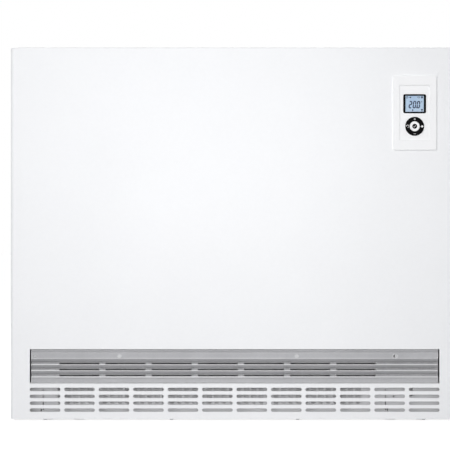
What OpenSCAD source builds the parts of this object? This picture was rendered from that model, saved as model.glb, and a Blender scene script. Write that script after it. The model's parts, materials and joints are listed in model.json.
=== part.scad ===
// Storage heater: a steel casing with a brick core, a fan-driven warm air path along the base,
// an outlet grille and intake slots in the front panel, and a controller at the upper right.
// Millimetres. X runs to the viewer's right, Y from the front to the wall, Z up from the floor.
// The origin is at the floor, under the middle of the whole object.

/* [Casing] */
// Width over the front panel
body_w = 780; // [640:1:940]
// Height from the floor to the top edge
body_h = 650; // [540:1:790]
// Depth from the front panel's face to the wall
body_d = 250; // [235:1:300]
// Thickness of the casing's sheet steel
sheet_t = 1.0; // [0.7:0.1:1.5]
// Outside radius of the front panel's upright bends
bend_r = 7; // [4:0.5:12]
// Outside radius of the front panel's top bend
top_bend_r = 2.2; // [1.8:0.1:4]
// Depth of the front panel's side and top flanges
front_flange = 20; // [12:1:30]
// Width of the relief notch at each top corner
corner_notch = 13; // [8:1:20]
// How far the notch lies below the top edge
notch_drop = 2.2; // [1.8:0.1:4]
// Space between the rear panel and the wall
wall_space = 12; // [8:1:20]
// Gap between the front panel and the floor
floor_gap = 3; // [2:0.5:6]

/* [Outlet grille] */
// Distance from each side of the casing to the window in the front panel
window_margin = 33.5; // [25:0.5:45]
// Height of the window in the front panel
window_h = 59.5; // [58:0.5:70]
// Height of the window's lower edge above the floor
window_z = 65; // [63:1:80]
// Gap between the grille and each end of the window
grille_end_gap = 2.2; // [1:0.1:5]
// Length of an air slot in the grille
air_slot_l = 70; // [40:1:90]
// Height of an air slot in the grille
air_slot_h = 2.6; // [1.5:0.1:3]
// Distance from one column of air slots to the next
air_slot_pitch = 80.5; // [50:0.5:100]
// Distance from one louvre nose to the next
louvre_pitch = 10.45; // [9:0.05:10.9]
// Number of louvres
louvre_count = 3; // [2:1:3]
// Depth of a louvre's hollow
louvre_depth = 4.3; // [2.5:0.1:5.2]

/* [Intake slots] */
// Length of a slot
slot_l = 53.3; // [40:0.1:56]
// Height of a slot
slot_h = 6; // [4:0.1:8]
// Distance from one slot column to the next
slot_pitch_x = 60; // [58:0.1:75]
// Distance from one slot row to the next
slot_pitch_z = 12; // [10:0.1:12.5]
// Number of slot rows
slot_rows = 4; // [2:1:4]
// Width of an oblong hole in the plate behind the slots
hole_w = 9.8; // [8:0.1:11.5]
// Distance from one oblong hole to the next
hole_pitch = 13; // [12.5:0.1:16]

/* [Core] */
// Distance from one column of bricks to the next
brick_pitch_x = 175; // [145:1:215]
// Distance from one row of bricks to the next, front to rear
brick_pitch_y = 78; // [64:1:90]
// Distance from one layer of bricks to the next
brick_pitch_z = 72; // [58:1:88]
// Gap between bricks
brick_gap = 0.3; // [0.2:0.1:1]
// Radius of a heating element's tube
element_r = 4; // [3:0.1:4.8]
// Distance between the two legs of an element
element_span = 44; // [36:1:52]
// Thickness of the front and right insulation
insulation_t = 30; // [25:1:36]
// Clear width of the electrical compartment
electric_w = 138; // [132:1:160]

/* [Controller] */
// Width of the controller's frame
frame_w = 75.5; // [70:0.5:92]
// Height of the controller's frame
frame_h = 129.5; // [125:0.5:158]
// How far the frame stands proud of the front panel
frame_proud = 2.5; // [1.5:0.1:3]
// Height of the frame's middle below the top edge
frame_drop = 113.8; // [90:0.1:130]
// Distance from the frame's middle to the right-hand side
frame_inset = 76.6; // [60:0.1:80]
// Width of the field inside the frame
fascia_w = 52.5; // [51:0.5:62]
// Height of the field inside the frame
fascia_h = 96; // [92:0.5:112]
// Width of the display's dark surround
display_w = 39.5; // [36:0.5:44]
// Height of the display's dark surround
display_h = 33; // [30:0.5:36]
// Outside radius of the ring of keys
ring_r = 16; // [14:0.1:18]
// Radius of the confirm button in the ring
confirm_r = 8.6; // [8:0.1:9.5]

/* [Air path] */
// Radius of the fan's impeller
impeller_r = 30; // [25:0.5:34]
// Radius of the fan's shaft
shaft_r = 3; // [2.5:0.1:4]
// Number of blades on the impeller
blade_count = 20; // [12:1:28]
// Height of the damper's flap below its shaft
flap_h = 40; // [32:1:42]

/* [Hidden] */
$fn = 64;
eps = 0.01;

// Clearances: a seat between flat faces, a running fit on a round pin, and a loose fit
seat = 0.3;
run = 0.05;
loose = 0.5;

// Casing planes. Depths (d) are measured from the front panel's face towards the wall.
y_face = frame_proud - (body_d + frame_proud) / 2;
x_out = body_w / 2;
x_web = x_out - sheet_t;
x_in = x_out - 2 * sheet_t;
d_rear = body_d - wall_space;
d_rear_in = d_rear - sheet_t;
z_cover = body_h - sheet_t;
z_side = z_cover - sheet_t;
z_notch = body_h - max(notch_drop, 2 * sheet_t + 0.2);
z_lip = floor_gap + sheet_t;
lip_w = 12;

// Base pan and floor rails
pan_t = 1.5;
d_wall_end = d_rear_in - pan_t - seat;
rail_h = 12;
rail_t = 1.5;
rail_w = 40;
rail_foot = 16;
rail_inset = 90;
rail_hole_r = 4.5;
rail_d = [25, d_rear - 8];
rail_hole_d = [rail_d[0] + 20, rail_d[1] - 25];
z_pan = rail_h + pan_t;
pan_front_d = 18;
screw_r = 1.9;
screw_head_r = 3.8;
screw_head_h = 2;
screw_l = 7;
front_screw_inset = 60;
front_screw_d = 9;
front_screw_x = [for (k = [-1, -1 / 3, 1 / 3, 1]) k * (x_out - front_screw_inset)];
rear_screw_inset = 60;
rear_screw_z = [rear_screw_inset, body_h / 2, z_side - rear_screw_inset];
top_screw_inset = 130;
top_screw_x = [top_screw_inset - x_out, 0, x_out - top_screw_inset];

// Wall bracket
bracket_l = 480;
bracket_z = [body_h - 70, body_h - 30];
bracket_foot = 22;
bracket_t = 2;
bracket_hole_r = 3.5;
bracket_hole_x = 200;

// Outlet grille
window_w = body_w - 2 * window_margin;
grille_w = window_w - 2 * grille_end_gap;
grille_z0 = window_z + 0.5;
grille_z1 = window_z + window_h - 0.5;
grille_d0 = 2;
grille_d1 = 13;
grille_wall = 2;
grille_back = 6;
grille_foot_h = 11.6;
lock_band_h = 10.5;
nose_half = 0.65;
nose_corner = 1.2;
nose_lean = 0.57;
hollow_r = 2.4;
lip_groove = 0.9;
foot_groove = 1.1;
foot_groove_h = 4.8;
foot_ridge_h = 2.2;
foot_lean = 0.9;
foot_edge_h = 2.5;
air_slot_drop = 0.65;
nose_z0 = grille_z0 + grille_foot_h;
band_z = nose_z0 + louvre_count * louvre_pitch;
slot_cols = floor((grille_w - 130) / air_slot_pitch);
air_slot_x0 = -window_w / 2 + 50.8;
lock_z = band_z + 3.9;
lock_x = [-window_w / 2 + 155.9, window_w / 2 - 248.4];
lock_head_w = 7.4;
lock_head_h = 4.9;
lock_shank_r = 1.9;
lock_bar_l = 14;
lock_bar_w = 3.6;
oval_w = 8;
oval_h = 5.2;
sensor_x = window_w / 2 - 76.5;
sensor_r = 2.5;
dowel_x = -window_w / 2 + 9;
dowel_groove = 0.9;

// Outlet duct
duct_t = 1;
duct_z0 = window_z + 1;
duct_z1 = window_z + window_h;
duct_x0 = air_slot_x0 - 10;
duct_x1 = air_slot_x0 + (slot_cols - 1) * air_slot_pitch + air_slot_l + 1;
duct_d1 = 92;
duct_mouth_d = 60;

// Intake plate and filter. The plate has a slit and a short slit near each end of its row of
// holes, and a pressed groove and a pressed pocket at its right-hand end.
plate_d = 14.6;
plate_half = window_w / 2 + 4;
plate_x0 = -window_w / 2 + 25;
plate_x1 = window_w / 2 - 96;
slit_w = 1.6;
slit_x = [-window_w / 2 + 22, window_w / 2 - 92.6];
slit_top = z_pan + 40.8;
short_slit_top = z_pan + 9.4;
short_slit_out = 3.4;
groove_x = window_w / 2 - 70.9;
groove_w = 3;
pocket_x = [window_w / 2 - 58.4, window_w / 2 - 45.3];
pocket_z = [42.2, 60];
pocket_depth = 16;
rivet_x = window_w / 2 - 78.4;
rivet_z = 41.4;
rivet_r = 1.6;
hole_z0 = 28.1;
hole_count = floor((plate_x1 - plate_x0 - 50) / hole_pitch);
hole_x0 = plate_x0 + 27.3;
slot_cols_front = floor((window_w + 1 - slot_l) / slot_pitch_x) + 1;
slot_z0 = window_z - 10.5 - (slot_rows - 1) * slot_pitch_z;
filter_t = 5;
filter_x = [plate_x0 + 3, plate_x1 - 3];
filter_d = [plate_d + sheet_t + seat, plate_d + sheet_t + seat + filter_t];
filter_z = [z_pan + sheet_t, duct_z0 - sheet_t - seat];
filter_rim = 6;
filter_groove = 3;
net_t = 0.6;

// Core planes
divider_x0 = x_in - electric_w - sheet_t;
divider_x1 = divider_x0 + sheet_t;
core_x1 = divider_x0 - insulation_t - seat;
side_air = 17;
rear_insulation_min = 20;
top_air = 8;
left_wall_x1 = -x_in + side_air + sheet_t;
core_cols = floor((core_x1 - left_wall_x1 - insulation_t - element_span / 2) / brick_pitch_x);
core_x0 = core_x1 - core_cols * brick_pitch_x;
front_air = 16;
inner_d0 = sheet_t + front_air;
inner_d1 = inner_d0 + sheet_t;
core_d0 = inner_d1 + insulation_t + seat;
core_rows = floor((d_wall_end - seat - rear_insulation_min - core_d0) / brick_pitch_y);
core_d1 = core_d0 + core_rows * brick_pitch_y;
support_t = 3;
support_z1 = 140;
low_wall_d = 112;
port_l = 90;
port_w = 20;
core_z0 = support_z1 + insulation_t;
core_layers = floor((z_side - top_air - insulation_t - core_z0) / brick_pitch_z);
core_z1 = core_z0 + core_layers * brick_pitch_z;
insulation_top_z = z_side - top_air;
bed_x0 = left_wall_x1;
bed_x1 = divider_x0;
element_layers = floor(core_layers / 2);
groove_r = element_r + 0.5;
air_hole_l = 60;
air_hole_w = 14;
stud_r = 2;
bead_r = 6.8;
sensor_z = core_z0 + (core_layers - 2) * brick_pitch_z + brick_pitch_z / 2;
probe_r = 3;

// Fan, damper and motor
fan_clear = 17;
scroll_gap = 6;
housing_rim = 4;
fan_d = duct_d1 + duct_t + fan_clear + impeller_r + scroll_gap + housing_rim;
fan_z = z_pan + 50;
neck_lip = 6;
neck_side = 8;
fan_x0 = duct_x0 + 26;
fan_x1 = duct_x1 - 96;
fan_plate_t = 1.5;
bearing_r = 8;
bearing_flange_r = 11;
bearing_l = 6;
motor_plate_x = fan_x1 + 10;
motor_x0 = motor_plate_x + 12;
motor_l = 36;
motor_half = 29;
stator_bore_r = 16;
rotor_r = 15.6;
damper_z = duct_z1 - 2;
damper_r = 2.5;
damper_d = duct_d1 - damper_r - 0.5;
flap_t = 1.2;

// Electrical compartment
board_x = divider_x1 + 32;
board_t = 1.5;
board_d0 = 42;
board_d1 = d_rear - 23;
board_z0 = support_z1 + 25;
board_z1 = z_side - 83;
post_l = 8;
pcb_t = 1.6;
mains_z = board_z0 + 25;
control_z = board_z0 + 70;
pcb_z0 = board_z0 + 100;
pcb_h = 120;
pcb_d0 = 60;
pcb_d1 = 200;
block_d0 = 85;
limiter_d = 100;
limiter_z = pcb_z0 + pcb_h + 35;
limiter_r = 14;
reset_r = 3;
cable_x = x_in - 58;
cable_z = z_pan + 31.5;
cable_r = 5;
grommet_hole_r = 11;

// Controller
ctrl_x = x_out - frame_inset;
ctrl_z = body_h - frame_drop;
spigot_wall = 1.2;
spigot_w = fascia_w + 1.6 + 2 * spigot_wall;
spigot_h = fascia_h + 1.6 + 2 * spigot_wall;
fascia_d0 = -1;
fascia_t = 2.5;
fascia_wall = 1.5;
fascia_r = 1.5;
fascia_gap = 0.12;
fascia_depth = 12;
display_drop = 0.35;
display_z = ctrl_z + fascia_h / 6 - display_drop;
bezel_d = 2.5;
bezel_rim = 3.6;
bezel_rim_z = 2.35;
bezel_r = 3;
lcd_back = 6.4;
ring_z = ctrl_z - fascia_h / 4 + 0.4;
ring_t = 3;
ring_in_r = confirm_r + loose;
ring_d0 = -2.2;
gimbal_d0 = 2.6;
gimbal_t = 2;
gimbal_in_r = ring_in_r + 1.2;
gimbal_out_r = ring_r - 2.2;
pivot_r = 0.8;
pivot_d = gimbal_d0 + gimbal_t / 2;
confirm_travel = 0.8;
stem_r = 2;
back_box_d = 34;

white = "#f2f3f5";
silver = "#b2b3b7";
zinc = "#c8cacc";
dark = "#2a2b2e";

// ---------- helpers ----------

// A block given by its spans in X, depth and Z
module slab(x, d, z) {
    translate([x[0], y_face + d[0], z[0]])
        cube([x[1] - x[0], d[1] - d[0], z[1] - z[0]]);
}

// A round bar along X, Y or Z
module bar_x(x, d, z, r) {
    translate([x[0], y_face + d, z]) rotate([0, 90, 0]) cylinder(h = x[1] - x[0], r = r);
}
module bar_y(x, d, z, r) {
    translate([x, y_face + d[0], z]) rotate([-90, 0, 0]) cylinder(h = d[1] - d[0], r = r);
}
module bar_z(x, d, z, r) {
    translate([x, y_face + d, z[0]]) cylinder(h = z[1] - z[0], r = r);
}

// A flat outline drawn in X and Z, given its depth span
module upright(d) {
    translate([0, y_face + d[1], 0]) rotate([90, 0, 0]) linear_extrude(d[1] - d[0]) children();
}

// An outline drawn in depth and Z, run along X
module along_x(x) {
    translate([x[0], y_face, 0]) rotate([90, 0, 90]) linear_extrude(x[1] - x[0]) children();
}

// A slot with round ends, w long and h high, about its middle
module stadium(w, h) {
    square([w - h, h], center = true);
    for (s = [-1, 1]) translate([s * (w - h) / 2, 0]) circle(h / 2);
}

// A rectangle with round corners, about its middle
module rounded(w, h, r) {
    square([w - 2 * r, h], center = true);
    square([w, h - 2 * r], center = true);
    for (sx = [-1, 1], sz = [-1, 1]) translate([sx * (w / 2 - r), sz * (h / 2 - r)]) circle(r);
}

// ---------- casing ----------

// The front panel's section in X and depth: a face, two round bends and two side flanges
module front_section() {
    r = bend_r;
    intersection() {
        difference() {
            union() {
                translate([-x_out + r, 0]) square([body_w - 2 * r, 2 * r]);
                translate([-x_out, r]) square([body_w, front_flange - r]);
                for (s = [-1, 1]) translate([s * (x_out - r), r]) circle(r);
            }
            translate([-x_web + r - sheet_t, sheet_t]) square([2 * (x_out - r), front_flange]);
            translate([-x_web, r]) square([2 * x_web, front_flange]);
            for (s = [-1, 1]) translate([s * (x_out - r), r]) circle(r - sheet_t);
        }
        translate([-x_out, 0]) square([body_w, front_flange]);
    }
}

// The top flange with its bend, in depth and Z
module top_section() {
    r = top_bend_r;
    translate([0, z_notch - 1]) square([sheet_t, body_h - r - z_notch + 1]);
    translate([r, z_cover]) square([front_flange - r, sheet_t]);
    translate([r, body_h - r]) intersection() {
        difference() {
            circle(r);
            circle(r - sheet_t);
        }
        translate([-r, 0]) square([r, r]);
    }
}

function slot_x(c) = (c - (slot_cols_front - 1) / 2) * slot_pitch_x;

module front_panel() {
    color(white) difference() {
        union() {
            translate([0, y_face, floor_gap]) linear_extrude(z_notch - floor_gap)
                front_section();
            along_x([-x_out + corner_notch, x_out - corner_notch]) top_section();
            slab([-x_out + corner_notch, x_out - corner_notch], [sheet_t / 2, pan_front_d - 2],
                [floor_gap, z_lip]);
        }
        slab([-window_w / 2, window_w / 2], [-1, 2 * sheet_t], [window_z, window_z + window_h]);
        upright([-1, 2 * sheet_t])
            for (c = [0 : slot_cols_front - 1], r = [0 : slot_rows - 1])
                translate([slot_x(c), slot_z0 + r * slot_pitch_z]) stadium(slot_l, slot_h);
        slab([ctrl_x - spigot_w / 2 - 0.5, ctrl_x + spigot_w / 2 + 0.5], [-1, 2 * sheet_t],
            [ctrl_z - spigot_h / 2 - 0.5, ctrl_z + spigot_h / 2 + 0.5]);
        for (x = front_screw_x) bar_z(x, front_screw_d, [0, 10], screw_r + run);
    }
}

module top_cover() {
    color(white) difference() {
        union() {
            slab([-x_web, x_web], [3, front_flange + 1], [z_side, z_cover]);
            slab([-x_out, x_out], [front_flange + 0.5, d_rear + sheet_t], [z_side, z_cover]);
            for (s = [-1, 1]) mirror([s < 0 ? 1 : 0, 0, 0])
                slab([x_web, x_out], [front_flange + 0.5, d_rear + sheet_t], [z_side - lip_w, z_cover]);
            slab([-x_out, x_out], [d_rear, d_rear + sheet_t], [z_side - lip_w, z_cover]);
        }
        for (x = top_screw_x) bar_y(x, [d_rear - 1, d_rear + 3], z_side - lip_w / 2, screw_r + run);
    }
}

module side_panel() {
    difference() {
        union() {
            slab([x_in, x_web], [bend_r + 1, d_rear_in], [z_lip, z_side]);
            slab([x_in - lip_w, x_web], [bend_r + 1, bend_r + 1 + sheet_t], [z_lip, z_side]);
            slab([x_in - lip_w, x_web], [d_rear_in - sheet_t, d_rear_in], [z_lip, z_side]);
        }
        for (z = rear_screw_z) bar_y(x_in - lip_w / 2, [d_rear - 3, d_rear + 1], z, screw_r + run);
    }
}
module left_side_panel() color(white) mirror([1, 0, 0]) side_panel();
module right_side_panel() color(white) side_panel();

module rear_panel() {
    color(zinc) difference() {
        slab([-x_in - sheet_t / 2, x_in + sheet_t / 2], [d_rear_in, d_rear], [z_pan + 0.5, z_side - 1]);
        for (s = [-1, 1], z = rear_screw_z)
            bar_y(s * (x_in - lip_w / 2), [d_rear - 3, d_rear + 1], z, screw_r + run);
        for (x = top_screw_x) bar_y(x, [d_rear - 3, d_rear + 3], z_side - lip_w / 2, screw_r + run);
        bar_y(cable_x, [d_rear - 3, d_rear + 3], cable_z, grommet_hole_r);
    }
}

module base_pan() {
    half = x_in - pan_t;
    color(zinc) difference() {
        union() {
            slab([-half, half], [pan_front_d, d_wall_end + seat], [rail_h, z_pan]);
            slab([-half, half], [pan_front_d - pan_t, pan_front_d], [z_lip, z_pan]);
            slab([-x_in + lip_w + 2, x_in - lip_w - 2], [3, pan_front_d],
                [z_lip, z_lip + pan_t]);
            for (s = [-1, 1]) mirror([s < 0 ? 1 : 0, 0, 0])
                slab([half, x_in], [pan_front_d + 2, d_rear_in - 2], [rail_h, z_pan + 16]);
            slab([-half + lip_w, half - lip_w], [d_rear_in - pan_t, d_rear_in], [rail_h, z_pan + 10]);
        }
        for (x = front_screw_x) bar_z(x, front_screw_d, [0, 12], screw_r + run);
    }
}

// One pressed rail: a raised web with two feet, run from front to rear
module floor_rail() {
    difference() {
        union() {
            slab([-rail_w / 2, rail_w / 2], rail_d, [rail_h - rail_t, rail_h]);
            for (s = [-1, 1]) mirror([s < 0 ? 1 : 0, 0, 0]) {
                slab([rail_w / 2 - rail_t, rail_w / 2], rail_d, [0, rail_h]);
                slab([rail_w / 2 - rail_t, rail_w / 2 + rail_foot], rail_d, [0, rail_t]);
            }
        }
        for (d = rail_hole_d)
            bar_z(rail_w / 2 + rail_foot / 2, d, [-1, rail_t + 1], rail_hole_r);
    }
}

module floor_rails() {
    color(zinc) for (s = [-1, 1]) mirror([s < 0 ? 1 : 0, 0, 0])
        translate([x_out - rail_inset, 0, 0]) floor_rail();
}

// The wall bracket: a shallow top-hat strip with four wall holes
module wall_bracket() {
    color(zinc) difference() {
        union() {
            slab([-bracket_l / 2, bracket_l / 2], [d_rear, d_rear + bracket_t], bracket_z);
            for (z = [bracket_z[0], bracket_z[1] - bracket_t])
                slab([-bracket_l / 2, bracket_l / 2], [d_rear, body_d], [z, z + bracket_t]);
            slab([-bracket_l / 2, bracket_l / 2], [body_d - bracket_t, body_d],
                [bracket_z[0] - bracket_foot, bracket_z[0] + bracket_t]);
            slab([-bracket_l / 2, bracket_l / 2], [body_d - bracket_t, body_d],
                [bracket_z[1] - bracket_t, bracket_z[1] + bracket_foot]);
        }
        for (s = [-1, 1], z = [bracket_z[0] - bracket_foot / 2, bracket_z[1] + bracket_foot / 2])
            bar_y(s * bracket_hole_x, [body_d - 5, body_d + 1], z, bracket_hole_r);
    }
}

// A sheet-metal screw along Y, its head's seat at depth d
module rear_screw(x, d, z) {
    bar_y(x, [d - screw_l, d + eps], z, screw_r);
    bar_y(x, [d, d + screw_head_h], z, screw_head_r);
}

module casing_screws() {
    color("silver") {
        for (x = front_screw_x) {
            bar_z(x, front_screw_d, [floor_gap - eps, floor_gap + screw_l], screw_r);
            bar_z(x, front_screw_d, [floor_gap - screw_head_h, floor_gap], screw_head_r);
        }
        for (s = [-1, 1], z = rear_screw_z) rear_screw(s * (x_in - lip_w / 2), d_rear, z);
        for (x = top_screw_x) rear_screw(x, d_rear + sheet_t, z_side - lip_w / 2);
    }
}

// ---------- outlet grille ----------

// Lower edge of louvre hollow k, counted from the bottom
function hollow_z(k) = nose_z0 + k * louvre_pitch + nose_half;

// The front outline of one nose, from its lower corner up. It leans back a little, to catch light,
// and both corners lie inside the hollows, which cut them off.
function nose(z) = [[grille_d0 + 0.1, z - nose_corner], [grille_d0, z - nose_half + 0.15],
    [grille_d0 + nose_lean, z + nose_corner]];

// One hollow: a straight flank that slants in and down from the nose above, and a round bottom
// that comes out again to the nose below
module hollow(z) {
    height = louvre_pitch - 2 * nose_half;
    lip = [grille_d0 + 0.4, z];
    mid = [grille_d0 + louvre_depth - hollow_r,
        z + sqrt(hollow_r * hollow_r - pow(louvre_depth - hollow_r - 0.4, 2))];
    edge = [grille_d0 + 0.05, z + height];
    way = edge - mid;
    turn = atan2(way[1], way[0]) - acos(hollow_r / norm(way));
    polygon([[grille_d0 - 1, z], lip, mid, mid + hollow_r * [cos(turn), sin(turn)],
        edge, [grille_d0 - 1, z + height]]);
    translate(mid) circle(hollow_r);
}

module grille_section() {
    foot = [[grille_d0 + 1, grille_z0], [grille_d0 + 0.5, grille_z0 + foot_edge_h],
        [grille_d0 + foot_groove, nose_z0 - foot_groove_h], [grille_d0, nose_z0 - foot_ridge_h],
        [grille_d0 + foot_lean, nose_z0 + nose_corner]];
    noses = [for (k = [1 : louvre_count], point = nose(nose_z0 + k * louvre_pitch)) point];
    top = band_z + lock_band_h;
    lip = [[grille_d0, top - nose_half], [grille_d0 + lip_groove, top + nose_half],
        [grille_d0, grille_z1 - 1], [grille_d0 + 0.4, grille_z1]];
    back = [[grille_d1, grille_z1], [grille_d1, grille_z1 - grille_wall],
        [grille_d0 + grille_back, grille_z1 - grille_wall],
        [grille_d0 + grille_back, grille_z0 + grille_wall],
        [grille_d1, grille_z0 + grille_wall], [grille_d1, grille_z0]];
    difference() {
        polygon(concat(foot, noses, lip, back));
        for (k = [0 : louvre_count - 1]) hollow(hollow_z(k));
    }
}

module outlet_grille() {
    color(silver) difference() {
        along_x([-grille_w / 2, grille_w / 2]) grille_section();
        for (k = [0 : louvre_count - 1], c = [0 : slot_cols - 1]) {
            x = air_slot_x0 + c * air_slot_pitch;
            z = hollow_z(k) - air_slot_drop;
            slab([x, x + air_slot_l], [0, grille_d0 + 9], [z, z + air_slot_h]);
        }
        for (x = lock_x) bar_y(x, [0, grille_d1 + 1], lock_z, lock_shank_r + run);
        upright([0, grille_d1]) translate([sensor_x, lock_z]) stadium(oval_w, oval_h);
        upright([0, grille_d0 + 1.4]) translate([dowel_x, lock_z]) difference() {
            stadium(oval_w, oval_h);
            stadium(oval_w - 2 * dowel_groove, oval_h - 2 * dowel_groove);
        }
    }
}

// A quarter-turn lock: an oval slotted head in front, a shank, and a cross bar behind the duct's
// flange. The head stands in front of the grille's band, so that it can turn.
module grille_lock() {
    head_d = grille_d0 + 0.1;
    slot_half = 0.3;
    bar_d = grille_d1 + duct_t + seat;
    difference() {
        union() {
            upright([head_d - 1.2, head_d]) stadium(lock_head_w, lock_head_h);
            bar_y(0, [head_d - eps, bar_d + 2], 0, lock_shank_r);
            slab([-lock_bar_w / 2, lock_bar_w / 2], [bar_d, bar_d + 2], [-lock_bar_l / 2, lock_bar_l / 2]);
        }
        slab([-lock_head_w / 2, lock_head_w / 2], [head_d - 2, head_d - 0.7], [-slot_half, slot_half]);
    }
}
module grille_lock_left() color("lightgray") translate([lock_x[0], 0, lock_z]) grille_lock();
module grille_lock_right() color("lightgray") translate([lock_x[1], 0, lock_z]) grille_lock();

module room_sensor() {
    color(silver) {
        bar_y(sensor_x + 1.4, [grille_d0 + 1.4, grille_d1], lock_z, sensor_r);
        bar_y(sensor_x, [grille_d0 + grille_back + seat, grille_d1], lock_z, sensor_r + 3);
    }
}

// ---------- outlet duct ----------

module outlet_duct() {
    x0 = -grille_w / 2 + 2;
    x1 = grille_w / 2 - 2;
    end_x = [duct_x0, duct_x1];
    color(zinc) difference() {
        union() {
            slab([x0, x1], [grille_d1, grille_d1 + duct_t], [duct_z0, duct_z1]);
            slab([duct_x0, duct_x1 + duct_t], [grille_d1, duct_d1 + duct_t], [duct_z0, duct_z0 + duct_t]);
            slab([duct_x0, duct_x1 + duct_t], [grille_d1, duct_mouth_d],
                [duct_z1 - duct_t, duct_z1]);
            slab([duct_x0, duct_x1 + duct_t], [duct_d1, duct_d1 + duct_t],
                [duct_z0, support_z1 - support_t]);
            for (x = end_x) {
                slab([x, x + duct_t], [grille_d1, duct_d1 + duct_t], [duct_z0, duct_z1]);
                slab([x, x + duct_t], [duct_mouth_d, duct_d1 + duct_t],
                    [duct_z0, support_z1 - support_t]);
            }
        }
        slab([duct_x0 + 4, duct_x1 - 3], [0, grille_d1 + 3], [duct_z0 + 5, band_z - 3]);
        slab([duct_x0 + 14, duct_x1 - 14], [duct_d1 - 1, duct_d1 + 3],
            [damper_z - flap_h + 6, damper_z - 6]);
        for (x = lock_x)
            slab([x - lock_bar_l / 2 - 1, x + lock_bar_l / 2 + 1], [0, grille_d1 + 3],
                [lock_z - lock_shank_r - loose, lock_z + lock_shank_r + loose]);
        for (x = end_x) bar_x([x - 1, x + 2], damper_d, damper_z, damper_r + 2.5);
    }
}

// ---------- intake ----------

module intake_plate() {
    top = duct_z0;
    hole_top = top - 2;
    through = [plate_d - 1, plate_d + sheet_t + 1];
    color("#a9abad") difference() {
        union() {
            slab([-plate_half, plate_half], [plate_d, plate_d + sheet_t], [z_pan, top]);
            slab([plate_x0, plate_x1], [plate_d, plate_d + 12], [z_pan, z_pan + sheet_t]);
            slab([plate_x0, plate_x1], [plate_d, plate_d + 20], [top - sheet_t, top]);
            slab([pocket_x[0] - sheet_t, pocket_x[1] + sheet_t], [plate_d, plate_d + pocket_depth],
                [pocket_z[0] - sheet_t, pocket_z[1] + sheet_t]);
        }
        for (s = [0, 1]) {
            slab([slit_x[s] - slit_w / 2, slit_x[s] + slit_w / 2], through, [z_pan + 4, slit_top]);
            x = slit_x[s] + (2 * s - 1) * short_slit_out;
            slab([x - slit_w / 2, x + slit_w / 2], through, [z_pan + 2, short_slit_top]);
        }
        slab([groove_x - groove_w / 2, groove_x + groove_w / 2], [plate_d - 1, plate_d + sheet_t / 2],
            [z_pan + 2, top - 4]);
        slab(pocket_x, [plate_d - 1, plate_d + pocket_depth - sheet_t], pocket_z);
        bar_y(rivet_x, through, rivet_z, rivet_r);
        upright([plate_d - 1, plate_d + 2])
            for (k = [0 : hole_count - 1])
                translate([hole_x0 + k * hole_pitch, 0]) {
                    translate([-hole_w / 2, hole_z0 + hole_w / 2])
                        square([hole_w, hole_top - hole_z0 - hole_w / 2 - sheet_t]);
                    translate([0, hole_z0 + hole_w / 2]) circle(hole_w / 2);
                }
    }
}

module filter_frame() {
    color(dark) difference() {
        slab(filter_x, filter_d, filter_z);
        slab([filter_x[0] + filter_rim, filter_x[1] - filter_rim], [filter_d[0] - 1, filter_d[1] + 1],
            [filter_z[0] + filter_rim, filter_z[1] - filter_rim]);
        slab([filter_x[0] + filter_groove, filter_x[1] - filter_groove],
            [filter_d[0] + 2, filter_d[0] + 3], [filter_z[0] + filter_groove, filter_z[1] - filter_groove]);
    }
}
module filter_mesh() {
    m = filter_groove + 0.2;
    color("gray") slab([filter_x[0] + m, filter_x[1] - m], [filter_d[0] + 2.2, filter_d[0] + 2.2 + net_t],
        [filter_z[0] + m, filter_z[1] - m]);
}

// ---------- fan ----------

// The scroll's section in depth and Z: a round sheet, open at the front and above, with a neck
module scroll_section() {
    r = impeller_r + scroll_gap;
    neck = r - 1;
    top = support_z1 - support_t - seat;
    translate([fan_d, fan_z]) difference() {
        circle(r + 1);
        circle(r);
        translate([-2 * r, -r * 0.7]) square([1.35 * r, 1.2 * r]);
        translate([-neck, 0]) square([2 * neck - neck_side, 2 * r]);
    }
    translate([fan_d + neck - neck_side, fan_z + r * 0.55]) square([1, top - fan_z - r * 0.55]);
    translate([fan_d - neck, fan_z + r * 0.35]) square([1, top - fan_z - r * 0.35]);
    translate([fan_d - neck, top - 1]) square([neck_lip, 1]);
}

module fan_housing() {
    r = impeller_r + scroll_gap;
    plate_d0 = fan_d - r - housing_rim;
    plate_d1 = fan_d + r + housing_rim;
    color(zinc) difference() {
        union() {
            along_x([fan_x0, fan_x1]) scroll_section();
            for (x = [fan_x0, fan_x1 - fan_plate_t])
                slab([x, x + fan_plate_t], [plate_d0, plate_d1], [z_pan, support_z1 - support_t - seat]);
            slab([fan_x0 - lip_w, fan_x0 + 1], [plate_d0, plate_d1], [z_pan, z_pan + fan_plate_t]);
            slab([fan_x1 - 1, fan_x1 + 7], [plate_d0, plate_d1], [z_pan, z_pan + fan_plate_t]);
        }
        bar_x([fan_x0 - 1, fan_x0 + 3], fan_d, fan_z, bearing_r + run);
        bar_x([fan_x1 - 3, fan_x1 + 1], fan_d, fan_z, bearing_r + 4);
    }
}

module fan_impeller() {
    x0 = fan_x0 + fan_plate_t + bearing_l;
    x1 = fan_x1 - fan_plate_t - 3;
    blade_w = impeller_r / 4;
    mid = (x0 + x1) / 2;
    color("#9fa3a8") difference() {
        union() {
            for (x = [x0, mid - 1, x1 - 2]) bar_x([x, x + 2], fan_d, fan_z, impeller_r);
            translate([x0 + 1, y_face + fan_d, fan_z])
                for (k = [0 : blade_count - 1]) rotate([k * 360 / blade_count, 0, 0])
                    translate([0, impeller_r - blade_w - 0.5, 0]) rotate([25, 0, 0])
                        cube([x1 - x0 - 2, blade_w, 1]);
            for (x = [x0, x1 - 10]) bar_x([x, x + 10], fan_d, fan_z, shaft_r + 4);
        }
        bar_x([x0 - 1, x1 + 1], fan_d, fan_z, shaft_r + run);
    }
}

module fan_shaft() {
    color("silver") bar_x([fan_x0 - 8, motor_x0 + motor_l + 8], fan_d, fan_z, shaft_r);
}

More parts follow.
